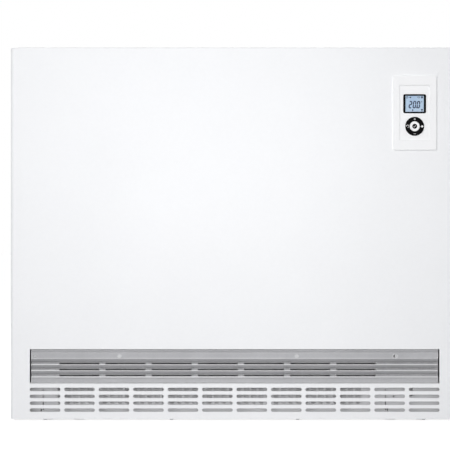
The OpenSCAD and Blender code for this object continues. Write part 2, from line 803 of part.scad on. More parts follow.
module fan_bearings() {
    color("tan") {
        difference() {
            union() {
                bar_x([fan_x0 - 4, fan_x0 + fan_plate_t], fan_d, fan_z, bearing_r);
                bar_x([fan_x0 - 4, fan_x0], fan_d, fan_z, bearing_flange_r);
            }
            bar_x([fan_x0 - 6, fan_x0 + 6], fan_d, fan_z, shaft_r + run);
        }
        difference() {
            union() {
                bar_x([motor_plate_x - 4, motor_plate_x + fan_plate_t], fan_d, fan_z, bearing_r);
                bar_x([motor_plate_x - 4, motor_plate_x], fan_d, fan_z, bearing_flange_r);
            }
            bar_x([motor_plate_x - 6, motor_plate_x + 6], fan_d, fan_z, shaft_r + run);
        }
    }
}

module motor_rotor() {
    color("silver") difference() {
        bar_x([motor_x0 + 2, motor_x0 + motor_l - 2], fan_d, fan_z, rotor_r);
        bar_x([motor_x0, motor_x0 + motor_l], fan_d, fan_z, shaft_r + run);
    }
}

module fan_motor() {
    h = motor_half;
    color("#6b4a2f") difference() {
        union() {
            slab([motor_x0, motor_x0 + motor_l], [fan_d - h, fan_d + h], [fan_z - h, fan_z + h]);
            slab([motor_x0 - 6, motor_x0 + motor_l + 6], [fan_d - h + 6, fan_d + h - 6],
                [fan_z + h - 4, fan_z + h + 10]);
            for (sd = [-1, 1], sz = [-1, 1])
                bar_x([motor_plate_x + fan_plate_t, motor_x0 + eps], fan_d + sd * (h - 5),
                    fan_z + sz * (h - 5), 3);
        }
        bar_x([motor_x0 - 7, motor_x0 + motor_l + 7], fan_d, fan_z, stator_bore_r);
    }
}

module motor_bracket() {
    h = motor_half + 2;
    color(zinc) difference() {
        union() {
            slab([motor_plate_x, motor_plate_x + fan_plate_t], [fan_d - h, fan_d + h], [z_pan, fan_z + h]);
            slab([motor_plate_x, motor_plate_x + 20], [fan_d - h, fan_d + h], [z_pan, z_pan + fan_plate_t]);
        }
        bar_x([motor_plate_x - 1, motor_plate_x + 3], fan_d, fan_z, bearing_r + run);
    }
}

// ---------- damper ----------

module bypass_damper() {
    color("#b9bcc0") {
        bar_x([duct_x0 - 3, duct_x1 + duct_t + 9], damper_d, damper_z, damper_r);
        slab([duct_x0 + 8, duct_x1 - 8], [duct_d1 - 0.4 - flap_t, duct_d1 - 0.4],
            [damper_z - flap_h, damper_z]);
    }
}

module damper_bushes() {
    color("tan") for (x = [duct_x0, duct_x1]) difference() {
        union() {
            bar_x([x, x + duct_t], damper_d, damper_z, damper_r + 2.4);
            bar_x([x + (x > 0 ? duct_t : -1.5), x + (x > 0 ? duct_t + 1.5 : 0)], damper_d, damper_z,
                damper_r + 4);
        }
        bar_x([x - 2, x + 4], damper_d, damper_z, damper_r + run);
    }
}

module damper_bimetal() {
    x0 = duct_x1 + duct_t + 1.5 + seat;
    color("peru") difference() {
        union() {
            bar_x([x0, x0 + 7], damper_d, damper_z, 10);
            slab([duct_x1 + duct_t, x0 + 3], [damper_d - 22, damper_d - 9], [damper_z - 5, damper_z + 5]);
        }
        bar_x([x0 - 1, x0 + 8], damper_d, damper_z, damper_r + run);
    }
}

// ---------- core ----------

function brick_x(c) = core_x0 + c * brick_pitch_x;
function brick_d(r) = core_d0 + r * brick_pitch_y;
function brick_z(l) = core_z0 + l * brick_pitch_z;
function row_mid(r) = brick_d(r) + (brick_pitch_y - brick_gap) / 2;
function element_z(k) = brick_z(2 * k + 1) - brick_gap / 2;

// The steel frame that carries the core: a plate with air ports on three walls
module core_support() {
    z0 = z_pan;
    rear = d_rear_in - 6;
    color(zinc) difference() {
        union() {
            slab([bed_x0, bed_x1], [inner_d1, d_wall_end], [support_z1 - support_t, support_z1]);
            slab([bed_x0, bed_x0 + support_t], [40, rear], [z0, support_z1]);
            slab([bed_x1 - support_t, bed_x1], [low_wall_d, rear], [z0, support_z1]);
            slab([bed_x0, bed_x1], [rear - support_t, rear], [z0, support_z1]);
        }
        for (c = [0 : core_cols - 1], r = [0 : core_rows - 1]) {
            x = brick_x(c) + brick_pitch_x / 2;
            slab([x - port_l / 2, x + port_l / 2], [row_mid(r) - port_w / 2, row_mid(r) + port_w / 2],
                [support_z1 - support_t - 1, support_z1 + 1]);
        }
    }
}

module storage_brick() {
    w = brick_pitch_x - brick_gap;
    dd = brick_pitch_y - brick_gap;
    h = brick_pitch_z - brick_gap;
    difference() {
        cube([w, dd, h]);
        for (s = [-1, 1], z = [-brick_gap / 2, h + brick_gap / 2])
            translate([-1, dd / 2 + s * element_span / 2, z]) rotate([0, 90, 0])
                cylinder(h = w + 2, r = groove_r);
        translate([w / 2 - air_hole_l / 2, dd / 2 - air_hole_w / 2, -1])
            cube([air_hole_l, air_hole_w, h + 2]);
    }
}

module storage_bricks() {
    color("#4a3f3a")
        for (c = [0 : core_cols - 1], r = [0 : core_rows - 1], l = [0 : core_layers - 1])
            translate([brick_x(c), y_face + brick_d(r), brick_z(l)]) storage_brick();
}

// One hairpin element: two legs along X, a round return at the left and a stud on each leg
module heating_element() {
    tail = divider_x1 + 12;
    turn_x = core_x0 - seat - 2;
    for (s = [-1, 1]) {
        translate([turn_x, s * element_span / 2, 0]) rotate([0, 90, 0])
            cylinder(h = tail - turn_x, r = element_r);
        translate([tail - eps, s * element_span / 2, 0]) rotate([0, 90, 0]) cylinder(h = 9, r = stud_r);
    }
    translate([turn_x, 0, 0]) rotate([0, 0, 90]) rotate_extrude(angle = 180)
        translate([element_span / 2, 0]) circle(element_r);
}

module at_elements() {
    for (r = [0 : core_rows - 1], k = [0 : element_layers - 1])
        translate([0, y_face + row_mid(r), element_z(k)]) children();
}

module heating_elements() color("#5b5d60") at_elements() heating_element();

module element_beads() {
    color("ivory") at_elements()
        for (s = [-1, 1]) translate([divider_x1, s * element_span / 2, 0]) rotate([0, 90, 0])
            difference() {
                cylinder(h = 7, r = bead_r);
                translate([0, 0, -1]) cylinder(h = 9, r = element_r + run);
            }
}

module insulation_base() {
    color("beige") difference() {
        slab([bed_x0, bed_x1], [inner_d1 + insulation_t, core_d1 + seat], [support_z1, core_z0]);
        for (c = [0 : core_cols - 1], r = [0 : core_rows - 1]) {
            x = brick_x(c) + brick_pitch_x / 2;
            slab([x - port_l / 2, x + port_l / 2], [row_mid(r) - port_w / 2, row_mid(r) + port_w / 2],
                [support_z1 - 1, core_z0 + 1]);
        }
    }
}
module insulation_front() {
    color("beige") slab([bed_x0, bed_x1], [inner_d1, inner_d1 + insulation_t],
        [support_z1, insulation_top_z]);
}
module insulation_rear() {
    color("beige") slab([bed_x0, bed_x1], [core_d1 + seat, d_wall_end],
        [support_z1, insulation_top_z]);
}
module insulation_left() {
    turn_room = element_span / 2 + element_r + 4;
    color("beige") difference() {
        slab([bed_x0, core_x0 - seat], [inner_d1 + insulation_t, core_d1 + seat], [core_z0, core_z1]);
        at_elements() translate([core_x0 - turn_room, -turn_room, -element_r - 1])
            cube([turn_room, 2 * turn_room, 2 * element_r + 2]);
    }
}
module insulation_right() {
    color("beige") difference() {
        slab([core_x1, bed_x1], [inner_d1 + insulation_t, core_d1 + seat], [core_z0, core_z1]);
        element_holes([core_x1 - 1, bed_x1 + 1]);
    }
}
module insulation_top() {
    color("beige") slab([bed_x0, bed_x1], [inner_d1 + insulation_t, core_d1 + seat],
        [core_z1, insulation_top_z]);
}

// The holes that let the element legs and the probe through a wall that spans x
module element_holes(x) {
    at_elements() for (s = [-1, 1])
        translate([x[0], s * element_span / 2, 0]) rotate([0, 90, 0])
            cylinder(h = x[1] - x[0], r = element_r + 1);
    bar_x(x, row_mid(0), sensor_z, probe_r + 0.5);
}

module inner_front_wall() {
    color(zinc) {
        slab([bed_x0 - sheet_t, divider_x1], [inner_d0, inner_d1], [duct_z1, insulation_top_z]);
        slab([bed_x0 - sheet_t, divider_x1], [inner_d0, inner_d1 + 25],
            [insulation_top_z, insulation_top_z + sheet_t]);
    }
}
module inner_left_wall() {
    color(zinc) {
        slab([bed_x0 - sheet_t, bed_x0], [inner_d1, d_wall_end],
            [z_pan, insulation_top_z]);
    }
}
module divider_wall() {
    color(zinc) difference() {
        union() {
            slab([divider_x0, divider_x1], [inner_d1, d_wall_end],
                [support_z1 - support_t, insulation_top_z]);
            slab([divider_x0, divider_x1], [low_wall_d, d_wall_end], [z_pan, support_z1]);
        }
        element_holes([divider_x0 - 1, divider_x1 + 1]);
    }
}

// ---------- electrical compartment ----------

module electrics_plate() {
    face = board_x + board_t;
    color(zinc) {
        slab([board_x, face], [board_d0, board_d1], [board_z0, board_z1]);
        for (d = [board_d0, board_d1 - board_t])
            slab([divider_x1, face], [d, d + board_t], [board_z0, board_z1]);
        for (d = [pcb_d0 + 6, pcb_d1 - 6], z = [pcb_z0 + 6, pcb_z0 + pcb_h - 6])
            bar_x([face - eps, face + post_l], d, z, 3);
    }
}

// A terminal block on the electrics plate: n ways, each with a wire hole and a screw well
module terminal_block(d0, z, n, way, h) {
    x0 = board_x + board_t;
    difference() {
        union() {
            slab([x0, x0 + h], [d0, d0 + n * way], [z - h / 2, z + h / 2]);
            slab([x0, x0 + 4], [d0 - 7, d0 + n * way + 7], [z - h / 3, z + h / 3]);
        }
        for (k = [0 : n - 1])
            bar_x([x0 + h / 2, x0 + h + 1], d0 + (k + 0.5) * way, z, way / 4);
    }
}
module mains_terminal_block() color("#e6e2d6") terminal_block(block_d0, mains_z, 6, 17, 24);
module control_terminal_block() color("#e6e2d6") terminal_block(block_d0, control_z, 8, 11, 16);

module charge_controller_board() {
    x0 = board_x + board_t + post_l;
    color("darkgreen") slab([x0, x0 + pcb_t], [pcb_d0, pcb_d1], [pcb_z0, pcb_z0 + pcb_h]);
}
module power_relays() {
    x0 = board_x + board_t + post_l + pcb_t;
    color("#2c5ea8") for (k = [0 : 2])
        slab([x0, x0 + 22], [pcb_d0 + 14 + k * 40, pcb_d0 + 43 + k * 40],
            [pcb_z0 + 14, pcb_z0 + 40]);
    color("#222222") slab([x0, x0 + 30], [pcb_d0 + 14, pcb_d0 + 54], [pcb_z0 + 66, pcb_z0 + 102]);
}

module safety_limiter() {
    x0 = board_x + board_t;
    color("#3b3b3b") difference() {
        union() {
            bar_x([x0, x0 + 18], limiter_d, limiter_z, limiter_r);
            slab([x0, x0 + 2], [limiter_d - 22, limiter_d + 22], [limiter_z - 8, limiter_z + 8]);
            bar_x([x0 + 18 - eps, x0 + 24], limiter_d, limiter_z, 6);
        }
        bar_x([x0 + 12, x0 + 25], limiter_d, limiter_z, reset_r + run);
    }
}
module limiter_reset_button() {
    x0 = board_x + board_t;
    color("red") bar_x([x0 + 14, x0 + 26], limiter_d, limiter_z, reset_r);
}

module core_sensor() {
    color("silver") {
        bar_x([core_x1 + seat, divider_x1 + 10], row_mid(0), sensor_z, probe_r);
        bar_x([divider_x1, divider_x1 + 4], row_mid(0), sensor_z, 7);
    }
}

module cable_clamp() {
    d0 = d_rear_in - 45;
    color(dark) difference() {
        slab([cable_x - 17, cable_x + 17], [d0, d0 + 14], [z_pan, cable_z + 11]);
        bar_y(cable_x, [d0 - 1, d0 + 15], cable_z, cable_r);
    }
}
module cable_grommet() {
    color(dark) difference() {
        union() {
            bar_y(cable_x, [d_rear_in - 3, d_rear + 3], cable_z, grommet_hole_r - run);
            bar_y(cable_x, [d_rear_in - 3, d_rear_in], cable_z, grommet_hole_r + 3);
            bar_y(cable_x, [d_rear, d_rear + 3], cable_z, grommet_hole_r + 3);
        }
        bar_y(cable_x, [d_rear_in - 4, d_rear + 4], cable_z, cable_r + 1);
    }
}

// ---------- controller ----------

module at_controller(z) translate([ctrl_x, z]) children();

module controller_frame() {
    color(white) difference() {
        union() {
            upright([-frame_proud, 0]) at_controller(ctrl_z) rounded(frame_w, frame_h, 2);
            upright([-eps, fascia_depth]) at_controller(ctrl_z) square([spigot_w, spigot_h], center = true);
        }
        upright([-frame_proud - 1, 1]) at_controller(ctrl_z)
            rounded(fascia_w + 2 * fascia_gap, fascia_h + 2 * fascia_gap, fascia_r);
        upright([0.5, fascia_depth + 1]) at_controller(ctrl_z)
            square([fascia_w + 1.6, fascia_h + 1.6], center = true);
    }
}

module controller_fascia() {
    d1 = fascia_d0 + fascia_t;
    wall = 2 * fascia_wall;
    color("#f4f5f6") difference() {
        union() {
            upright([fascia_d0, d1]) at_controller(ctrl_z) rounded(fascia_w, fascia_h, fascia_r);
            difference() {
                upright([d1 - eps, fascia_depth]) at_controller(ctrl_z)
                    square([fascia_w, fascia_h], center = true);
                upright([d1, fascia_depth + 1]) at_controller(ctrl_z)
                    square([fascia_w - wall, fascia_h - wall], center = true);
            }
            for (s = [-1, 1]) slab([ctrl_x - 2.5, ctrl_x + 2.5], [d1 - eps, gimbal_d0 + gimbal_t + 0.8],
                [ring_z + s * (ring_r + 1.6) - 1.4, ring_z + s * (ring_r + 1.6) + 1.4]);
        }
        upright([fascia_d0 - 1, d1 + 1]) at_controller(display_z)
            rounded(display_w + 0.4, display_h + 0.4, bezel_r);
        bar_y(ctrl_x, [fascia_d0 - 1, d1 + 0.001], ring_z, ring_r + loose);
        for (s = [-1, 1]) {
            z = ring_z + s * (ring_r + 1.6);
            bar_z(ctrl_x, pivot_d, [z - 3, z + 3], pivot_r + run);
        }
    }
}

module display_bezel() {
    color("black") upright([fascia_d0 - 0.1, bezel_d]) at_controller(display_z) difference() {
        rounded(display_w, display_h, bezel_r);
        square([display_w - 2 * bezel_rim, display_h - 2 * bezel_rim_z], center = true);
    }
}

module display_lcd() {
    glass_w = display_w - 2 * bezel_rim - 0.4;
    glass_h = display_h - 2 * bezel_rim_z - 0.4;
    color("#a9c4e8") {
        upright([fascia_d0 + 0.5, bezel_d + 0.2]) at_controller(display_z)
            square([glass_w, glass_h], center = true);
        upright([bezel_d + 0.1, lcd_back]) at_controller(display_z)
            square([display_w - 1.5, display_h - 1.4], center = true);
    }
}

module rocker_ring() {
    back = ring_d0 + ring_t;
    color("#1d1d1f") difference() {
        union() {
            bar_y(ctrl_x, [ring_d0, back], ring_z, ring_r);
            for (s = [-1, 1]) {
                slab([ctrl_x + s * (gimbal_out_r + 1.2) - 0.8, ctrl_x + s * (gimbal_out_r + 1.2) + 0.8],
                    [back - eps, gimbal_d0 + gimbal_t], [ring_z - 1.6, ring_z + 1.6]);
                bar_x([ctrl_x + s * (gimbal_out_r - 0.4) - 1.2, ctrl_x + s * (gimbal_out_r - 0.4) + 1.2],
                    pivot_d, ring_z, pivot_r);
            }
        }
        bar_y(ctrl_x, [ring_d0 - 1, gimbal_d0], ring_z, ring_in_r);
    }
}

module rocker_gimbal() {
    color("dimgray") difference() {
        union() {
            bar_y(ctrl_x, [gimbal_d0, gimbal_d0 + gimbal_t], ring_z, gimbal_out_r);
            for (s = [-1, 1])
                bar_z(ctrl_x, pivot_d, [ring_z + s * (ring_r - 0.3) - 2.6, ring_z + s * (ring_r - 0.3) + 2.6],
                    pivot_r);
        }
        bar_y(ctrl_x, [gimbal_d0 - 1, gimbal_d0 + gimbal_t + 1], ring_z, gimbal_in_r);
        for (s = [-1, 1])
            bar_x([ctrl_x + s * (gimbal_out_r - 1) - 4, ctrl_x + s * (gimbal_out_r - 1) + 4], pivot_d, ring_z,
                pivot_r + run);
    }
}

module confirm_button() {
    color(white) {
        bar_y(ctrl_x, [ring_d0, ring_d0 + ring_t], ring_z, confirm_r);
        bar_y(ctrl_x, [ring_d0 + ring_t - eps, lcd_back - confirm_travel - 0.2], ring_z, stem_r);
    }
}

module controller_board() {
    color("darkgreen") difference() {
        upright([lcd_back, lcd_back + pcb_t]) at_controller(ctrl_z)
            square([fascia_w - 2 * fascia_wall - 0.6, fascia_h - 2 * fascia_wall - 0.6], center = true);
    }
}

module controller_back_box() {
    w = spigot_w + 4;
    h = spigot_h + 4;
    color("#d9dadc") difference() {
        upright([fascia_depth, back_box_d]) at_controller(ctrl_z) square([w, h], center = true);
        upright([fascia_depth - 1, back_box_d - 2]) at_controller(ctrl_z)
            square([fascia_w - 1, fascia_h - 1], center = true);
    }
}

front_panel();
top_cover();
left_side_panel();
right_side_panel();
rear_panel();
base_pan();
floor_rails();
wall_bracket();
casing_screws();
outlet_grille();
grille_lock_left();
grille_lock_right();
room_sensor();
outlet_duct();
intake_plate();
filter_frame();
filter_mesh();
fan_housing();
fan_impeller();
fan_shaft();
fan_bearings();
motor_rotor();
fan_motor();
motor_bracket();
bypass_damper();
damper_bushes();
damper_bimetal();
core_support();
storage_bricks();
heating_elements();
element_beads();
insulation_base();
insulation_front();
insulation_rear();
insulation_left();
insulation_right();
insulation_top();
inner_front_wall();
inner_left_wall();
divider_wall();
electrics_plate();
mains_terminal_block();
control_terminal_block();
charge_controller_board();
power_relays();
safety_limiter();
limiter_reset_button();
core_sensor();
cable_clamp();
cable_grommet();
controller_frame();
controller_fascia();
display_bezel();
display_lcd();
rocker_ring();
rocker_gimbal();
confirm_button();
controller_board();
controller_back_box();
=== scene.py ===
import json
import math

import bmesh
import bpy
from mathutils import Matrix, Vector

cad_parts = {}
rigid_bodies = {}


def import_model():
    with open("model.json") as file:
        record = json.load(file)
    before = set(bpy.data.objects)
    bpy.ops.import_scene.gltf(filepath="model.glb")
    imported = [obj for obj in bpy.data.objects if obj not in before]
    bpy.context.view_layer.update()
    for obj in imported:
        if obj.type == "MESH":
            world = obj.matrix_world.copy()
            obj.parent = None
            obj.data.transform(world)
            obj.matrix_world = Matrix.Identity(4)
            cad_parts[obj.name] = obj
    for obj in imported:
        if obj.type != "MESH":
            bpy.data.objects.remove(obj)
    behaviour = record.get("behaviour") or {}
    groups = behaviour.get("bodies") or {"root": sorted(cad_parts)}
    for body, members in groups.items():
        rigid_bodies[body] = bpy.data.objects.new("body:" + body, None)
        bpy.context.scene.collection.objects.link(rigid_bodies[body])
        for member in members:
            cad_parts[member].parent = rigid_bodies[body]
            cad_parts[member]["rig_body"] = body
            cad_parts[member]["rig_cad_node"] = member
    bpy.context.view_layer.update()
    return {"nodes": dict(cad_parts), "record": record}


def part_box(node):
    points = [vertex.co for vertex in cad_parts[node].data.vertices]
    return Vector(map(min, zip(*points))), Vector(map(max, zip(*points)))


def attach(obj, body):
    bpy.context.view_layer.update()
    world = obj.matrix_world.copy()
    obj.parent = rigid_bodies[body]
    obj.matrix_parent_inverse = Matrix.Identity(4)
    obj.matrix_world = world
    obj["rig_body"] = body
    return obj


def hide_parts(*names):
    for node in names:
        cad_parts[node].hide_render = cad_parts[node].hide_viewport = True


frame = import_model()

nodes = frame["nodes"]

MM = 0.001
FACE = -123.75  # the front panel's face, in mm along Y

# ---------------------------------------------------------------- shader kit


def put(tree, kind, inputs=None, **settings):
    """Adds a shader node; inputs are by socket name or number."""
    node = tree.nodes.new("ShaderNode" + kind)
    for key, value in settings.items():
        setattr(node, key, value)
    for key, value in (inputs or {}).items():
        if isinstance(value, bpy.types.NodeSocket):
            tree.links.new(value, node.inputs[key])
        else:
            node.inputs[key].default_value = value
    return node


def sums(tree, operation, first, second=None, third=None):
    """A Math node on numbers or sockets; gives its output."""
    node = put(tree, "Math", operation=operation)
    for place, value in enumerate((first, second, third)):
        if isinstance(value, bpy.types.NodeSocket):
            tree.links.new(value, node.inputs[place])
        elif value is not None:
            node.inputs[place].default_value = value
    return node.outputs[0]


def spread(tree, value, low, high, to_low, to_high):
    """Maps a value's range onto another; gives the output."""
    node = put(tree, "MapRange", {"Value": value, "From Min": low, "From Max": high,
                                  "To Min": to_low, "To Max": to_high})
    return node.outputs["Result"]


def mixed(tree, mask, first, second):
    """A colour between two, by a mask; gives the output."""
    node = put(tree, "Mix", data_type="RGBA")
    for place, value in ((0, mask), (6, first), (7, second)):
        if isinstance(value, bpy.types.NodeSocket):
            tree.links.new(value, node.inputs[place])
        else:
            node.inputs[place].default_value = value if place == 0 else (*value, 1)
    return node.outputs[2]


def new_group(name, inputs, outputs):
    """An empty node group with named sockets."""
    tree = bpy.data.node_groups.new(name, "ShaderNodeTree")
    for label, value in inputs:
        kind = "NodeSocketColor" if isinstance(value, tuple) else "NodeSocketFloat"
        socket = tree.interface.new_socket(label, in_out="INPUT", socket_type=kind)
        socket.default_value = (*value, 1) if isinstance(value, tuple) else value
    for label, kind in outputs:
        tree.interface.new_socket(label, in_out="OUTPUT", socket_type="NodeSocket" + kind)
    return tree, tree.nodes.new("NodeGroupInput"), tree.nodes.new("NodeGroupOutput")


def place_text(tree):
    return put(tree, "TexCoord").outputs["Object"]


def build_grain():
    """Fine grain: an even speckle of one size, for texture in paint and plastic."""
    tree, given, out = new_group("fine grain", [("Grains per metre", 900.0)],
                                 [("Height", "Float")])
    noise = put(tree, "TexNoise", {"Vector": place_text(tree), "Detail": 2.0, "Roughness": 0.45,
                                   "Scale": given.outputs["Grains per metre"]})
    tree.links.new(spread(tree, noise.outputs["Fac"], 0.3, 0.7, 0.0, 1.0), out.inputs["Height"])
    return tree


def build_tone():
    """Uneven tone: two near colours in soft patches with a little fine mottle."""
    tree, given, out = new_group(
        "uneven tone",
        [("First", (0.8, 0.8, 0.8)), ("Second", (0.7, 0.7, 0.7)), ("Patches per metre", 8.0),
         ("Mottle per metre", 260.0)],
        [("Colour", "Color"), ("Mask", "Float")])
    where = place_text(tree)
    broad = put(tree, "TexNoise", {"Vector": where, "Detail": 3.0,
                                   "Scale": given.outputs["Patches per metre"]})
    small = put(tree, "TexNoise", {"Vector": where, "Detail": 2.0,
                                   "Scale": given.outputs["Mottle per metre"]})
    both = sums(tree, "ADD", sums(tree, "MULTIPLY", broad.outputs["Fac"], 0.65),
                sums(tree, "MULTIPLY", small.outputs["Fac"], 0.35))
    mask = spread(tree, both, 0.36, 0.64, 0.0, 1.0)
    tree.links.new(mixed(tree, mask, given.outputs["First"], given.outputs["Second"]),
                   out.inputs["Colour"])
    tree.links.new(mask, out.inputs["Mask"])
    return tree


def build_edge_wear_and_shade():
    """Edge wear and shade: where an edge is worn, or darkened as painted shade, found by rounding
    the normal over a small reach.
    """
    tree, given, out = new_group("edge wear and shade", [("Reach", 0.001), ("Strength", 1.0)],
                                 [("Mask", "Float")])
    rounded = put(tree, "Bevel", {"Radius": given.outputs["Reach"]}, samples=6)
    true = put(tree, "NewGeometry")
    dot = put(tree, "VectorMath", {0: rounded.outputs["Normal"], 1: true.outputs["Normal"]},
              operation="DOT_PRODUCT")
    turned = spread(tree, dot.outputs["Value"], 0.995, 0.86, 0.0, 1.0)
    noise = put(tree, "TexNoise", {"Vector": place_text(tree), "Scale": 160.0, "Detail": 3.0})
    broken = spread(tree, noise.outputs["Fac"], 0.35, 0.62, 0.25, 1.0)
    tree.links.new(sums(tree, "MULTIPLY", sums(tree, "MULTIPLY", turned, broken),
                        given.outputs["Strength"]), out.inputs["Mask"])
    return tree


def build_dust():
    """Settled dust: on what faces up, in soft broken patches."""
    tree, given, out = new_group("settled dust", [("Amount", 0.3)], [("Mask", "Float")])
    facing = put(tree, "SeparateXYZ", {"Vector": put(tree, "NewGeometry").outputs["Normal"]})
    up = spread(tree, facing.outputs["Z"], 0.6, 0.98, 0.0, 1.0)
    noise = put(tree, "TexNoise", {"Vector": place_text(tree), "Scale": 40.0, "Detail": 5.0})
    broken = spread(tree, noise.outputs["Fac"], 0.35, 0.65, 0.3, 1.0)
    tree.links.new(sums(tree, "MULTIPLY", sums(tree, "MULTIPLY", up, broken),
                        given.outputs["Amount"]), out.inputs["Mask"])
    return tree


def build_hollow_shade():
    """Painted shade in hollows: a mask where the surface is closely shut in by others."""
    tree, given, out = new_group("painted shade in hollows", [("Reach", 0.006), ("Amount", 1.0)],
                                 [("Mask", "Float")])
    open_to = put(tree, "AmbientOcclusion", {"Distance": given.outputs["Reach"]}, samples=8,
                  only_local=True)
    shut = spread(tree, open_to.outputs["AO"], 0.88, 0.55, 0.0, 1.0)
    noise = put(tree, "TexNoise", {"Vector": place_text(tree), "Scale": 90.0, "Detail": 3.0})
    broken = spread(tree, noise.outputs["Fac"], 0.3, 0.7, 0.8, 1.0)
    tree.links.new(sums(tree, "MULTIPLY", sums(tree, "MULTIPLY", shut, broken),
                        given.outputs["Amount"]), out.inputs["Mask"])
    return tree


def build_ridge_highlight():
    """Painted highlight on ridges: a mask of thin ridges and outer edges, found by looking a little
    way into the piece.
    """
    tree, given, out = new_group("painted ridge highlight", [("Reach", 0.0015), ("Strength", 1.0)],
                                 [("Mask", "Float")])
    within = put(tree, "AmbientOcclusion", {"Distance": given.outputs["Reach"]}, samples=8,
                 inside=True, only_local=True)
    thin = spread(tree, within.outputs["AO"], 0.97, 0.6, 0.0, 1.0)
    tree.links.new(sums(tree, "MULTIPLY", thin, given.outputs["Strength"]), out.inputs["Mask"])
    return tree


def build_spangle():
    """Zinc spangle: crystals a few millimetres across, each with its own tone."""
    tree, given, out = new_group("zinc spangle", [("Crystals per metre", 170.0)],
                                 [("Tone", "Float"), ("Height", "Float")])
    where = place_text(tree)
    bent = put(tree, "TexNoise", {"Vector": where, "Scale": 300.0, "Detail": 2.0})
    pushed = put(tree, "VectorMath", {0: bent.outputs["Color"], 1: (0.0022, 0.0022, 0.0022)},
                 operation="MULTIPLY")
    moved = put(tree, "VectorMath", {0: where, 1: pushed.outputs["Vector"]}, operation="ADD")
    cells = put(tree, "TexVoronoi", {"Vector": moved.outputs["Vector"],
                                     "Scale": given.outputs["Crystals per metre"]})
    parts = put(tree, "SeparateColor", {"Color": cells.outputs["Color"]})
    streaks = put(tree, "TexNoise", {"Vector": where, "Scale": 900.0, "Detail": 1.0})
    tone = sums(tree, "ADD", sums(tree, "MULTIPLY", parts.outputs[0], 0.8),
                sums(tree, "MULTIPLY", streaks.outputs["Fac"], 0.2))
    tree.links.new(tone, out.inputs["Tone"])
    tree.links.new(cells.outputs["Distance"], out.inputs["Height"])
    return tree


GRAIN, TONE, EDGE_WEAR_AND_SHADE, DUST, HOLLOW_SHADE, RIDGE_HIGHLIGHT, SPANGLE = (
    build_grain(), build_tone(), build_edge_wear_and_shade(), build_dust(), build_hollow_shade(), build_ridge_highlight(),
    build_spangle())


def group(tree, kind, inputs=None):
    node = tree.nodes.new("ShaderNodeGroup")
    node.node_tree = kind
    for key, value in (inputs or {}).items():
        node.inputs[key].default_value = (*value, 1) if isinstance(value, tuple) else value
    return node


def new_finish(name, **plain):
    """A material with its shader; plain are the shader's own constant sockets."""
    material = bpy.data.materials.new(name)
    material.use_nodes = True
    tree = material.node_tree
    shader = tree.nodes["Principled BSDF"]
    for label, value in plain.items():
        shader.inputs[label.replace("_", " ")].default_value = value
    return material, tree, shader


def bumpy(tree, shader, height, depth_mm):
    """Feeds the shader's normal from a height, its full depth in mm."""
    bump = put(tree, "Bump", {"Height": height, "Strength": 1.0, "Distance": depth_mm * MM})
    tree.links.new(bump.outputs["Normal"], shader.inputs["Normal"])


# ---------------------------------------------------------------- finishes


def painted(name, first, second):
    """Powder coat: soft tone, a fine pebbled skin, thin edges and a little dust on top."""
    material, tree, shader = new_finish(name, Specular_IOR_Level=0.5)
    tone = group(tree, TONE, {"First": first, "Second": second, "Patches per metre": 5.0,
                              "Mottle per metre": 180.0})
    edge_wear_and_shade = group(tree, EDGE_WEAR_AND_SHADE, {"Reach": 0.0012, "Strength": 0.35})
    worn = mixed(tree, edge_wear_and_shade.outputs["Mask"], tone.outputs["Colour"],
                 tuple(c * 0.93 for c in first))
    settled = group(tree, DUST, {"Amount": 0.12})
    dusty = mixed(tree, settled.outputs["Mask"], worn, (0.62, 0.6, 0.57))
    tree.links.new(dusty, shader.inputs["Base Color"])
    grain = group(tree, GRAIN, {"Grains per metre": 620.0})
    tree.links.new(spread(tree, grain.outputs["Height"], 0.0, 1.0, 0.34, 0.44),
                   shader.inputs["Roughness"])
    bumpy(tree, shader, grain.outputs["Height"], 0.03)
    return material


def moulded(name, first, second, grains=1400.0, depth=0.02, rough=(0.4, 0.52), edge_wear_and_shade=0.3, coat=0.0,
            gloss=0.5, edge_wear_and_shade_tone=1.12):
    """Moulded plastic: an even fine grain, and edges smoothed by handling, paler or soiled; with an
    edge tone below 1 the darker edges are painted shade.
    """
    material, tree, shader = new_finish(name, Specular_IOR_Level=gloss, Coat_Weight=coat,
                                        Coat_Roughness=0.08)
    tone = group(tree, TONE, {"First": first, "Second": second, "Patches per metre": 30.0,
                              "Mottle per metre": 700.0})
    edge = group(tree, EDGE_WEAR_AND_SHADE, {"Reach": 0.0006, "Strength": edge_wear_and_shade})
    edge_wear_and_shade_colour = tuple(min(1.0, c * edge_wear_and_shade_tone + 0.004) for c in second)
    tree.links.new(mixed(tree, edge.outputs["Mask"], tone.outputs["Colour"], edge_wear_and_shade_colour),
                   shader.inputs["Base Color"])
    grain = group(tree, GRAIN, {"Grains per metre": grains})
    skin = spread(tree, grain.outputs["Height"], 0.0, 1.0, *rough)
    smooth = sums(tree, "MULTIPLY", edge.outputs["Mask"], 0.12)
    tree.links.new(sums(tree, "SUBTRACT", skin, smooth), shader.inputs["Roughness"])
    bumpy(tree, shader, grain.outputs["Height"], depth)
    return material


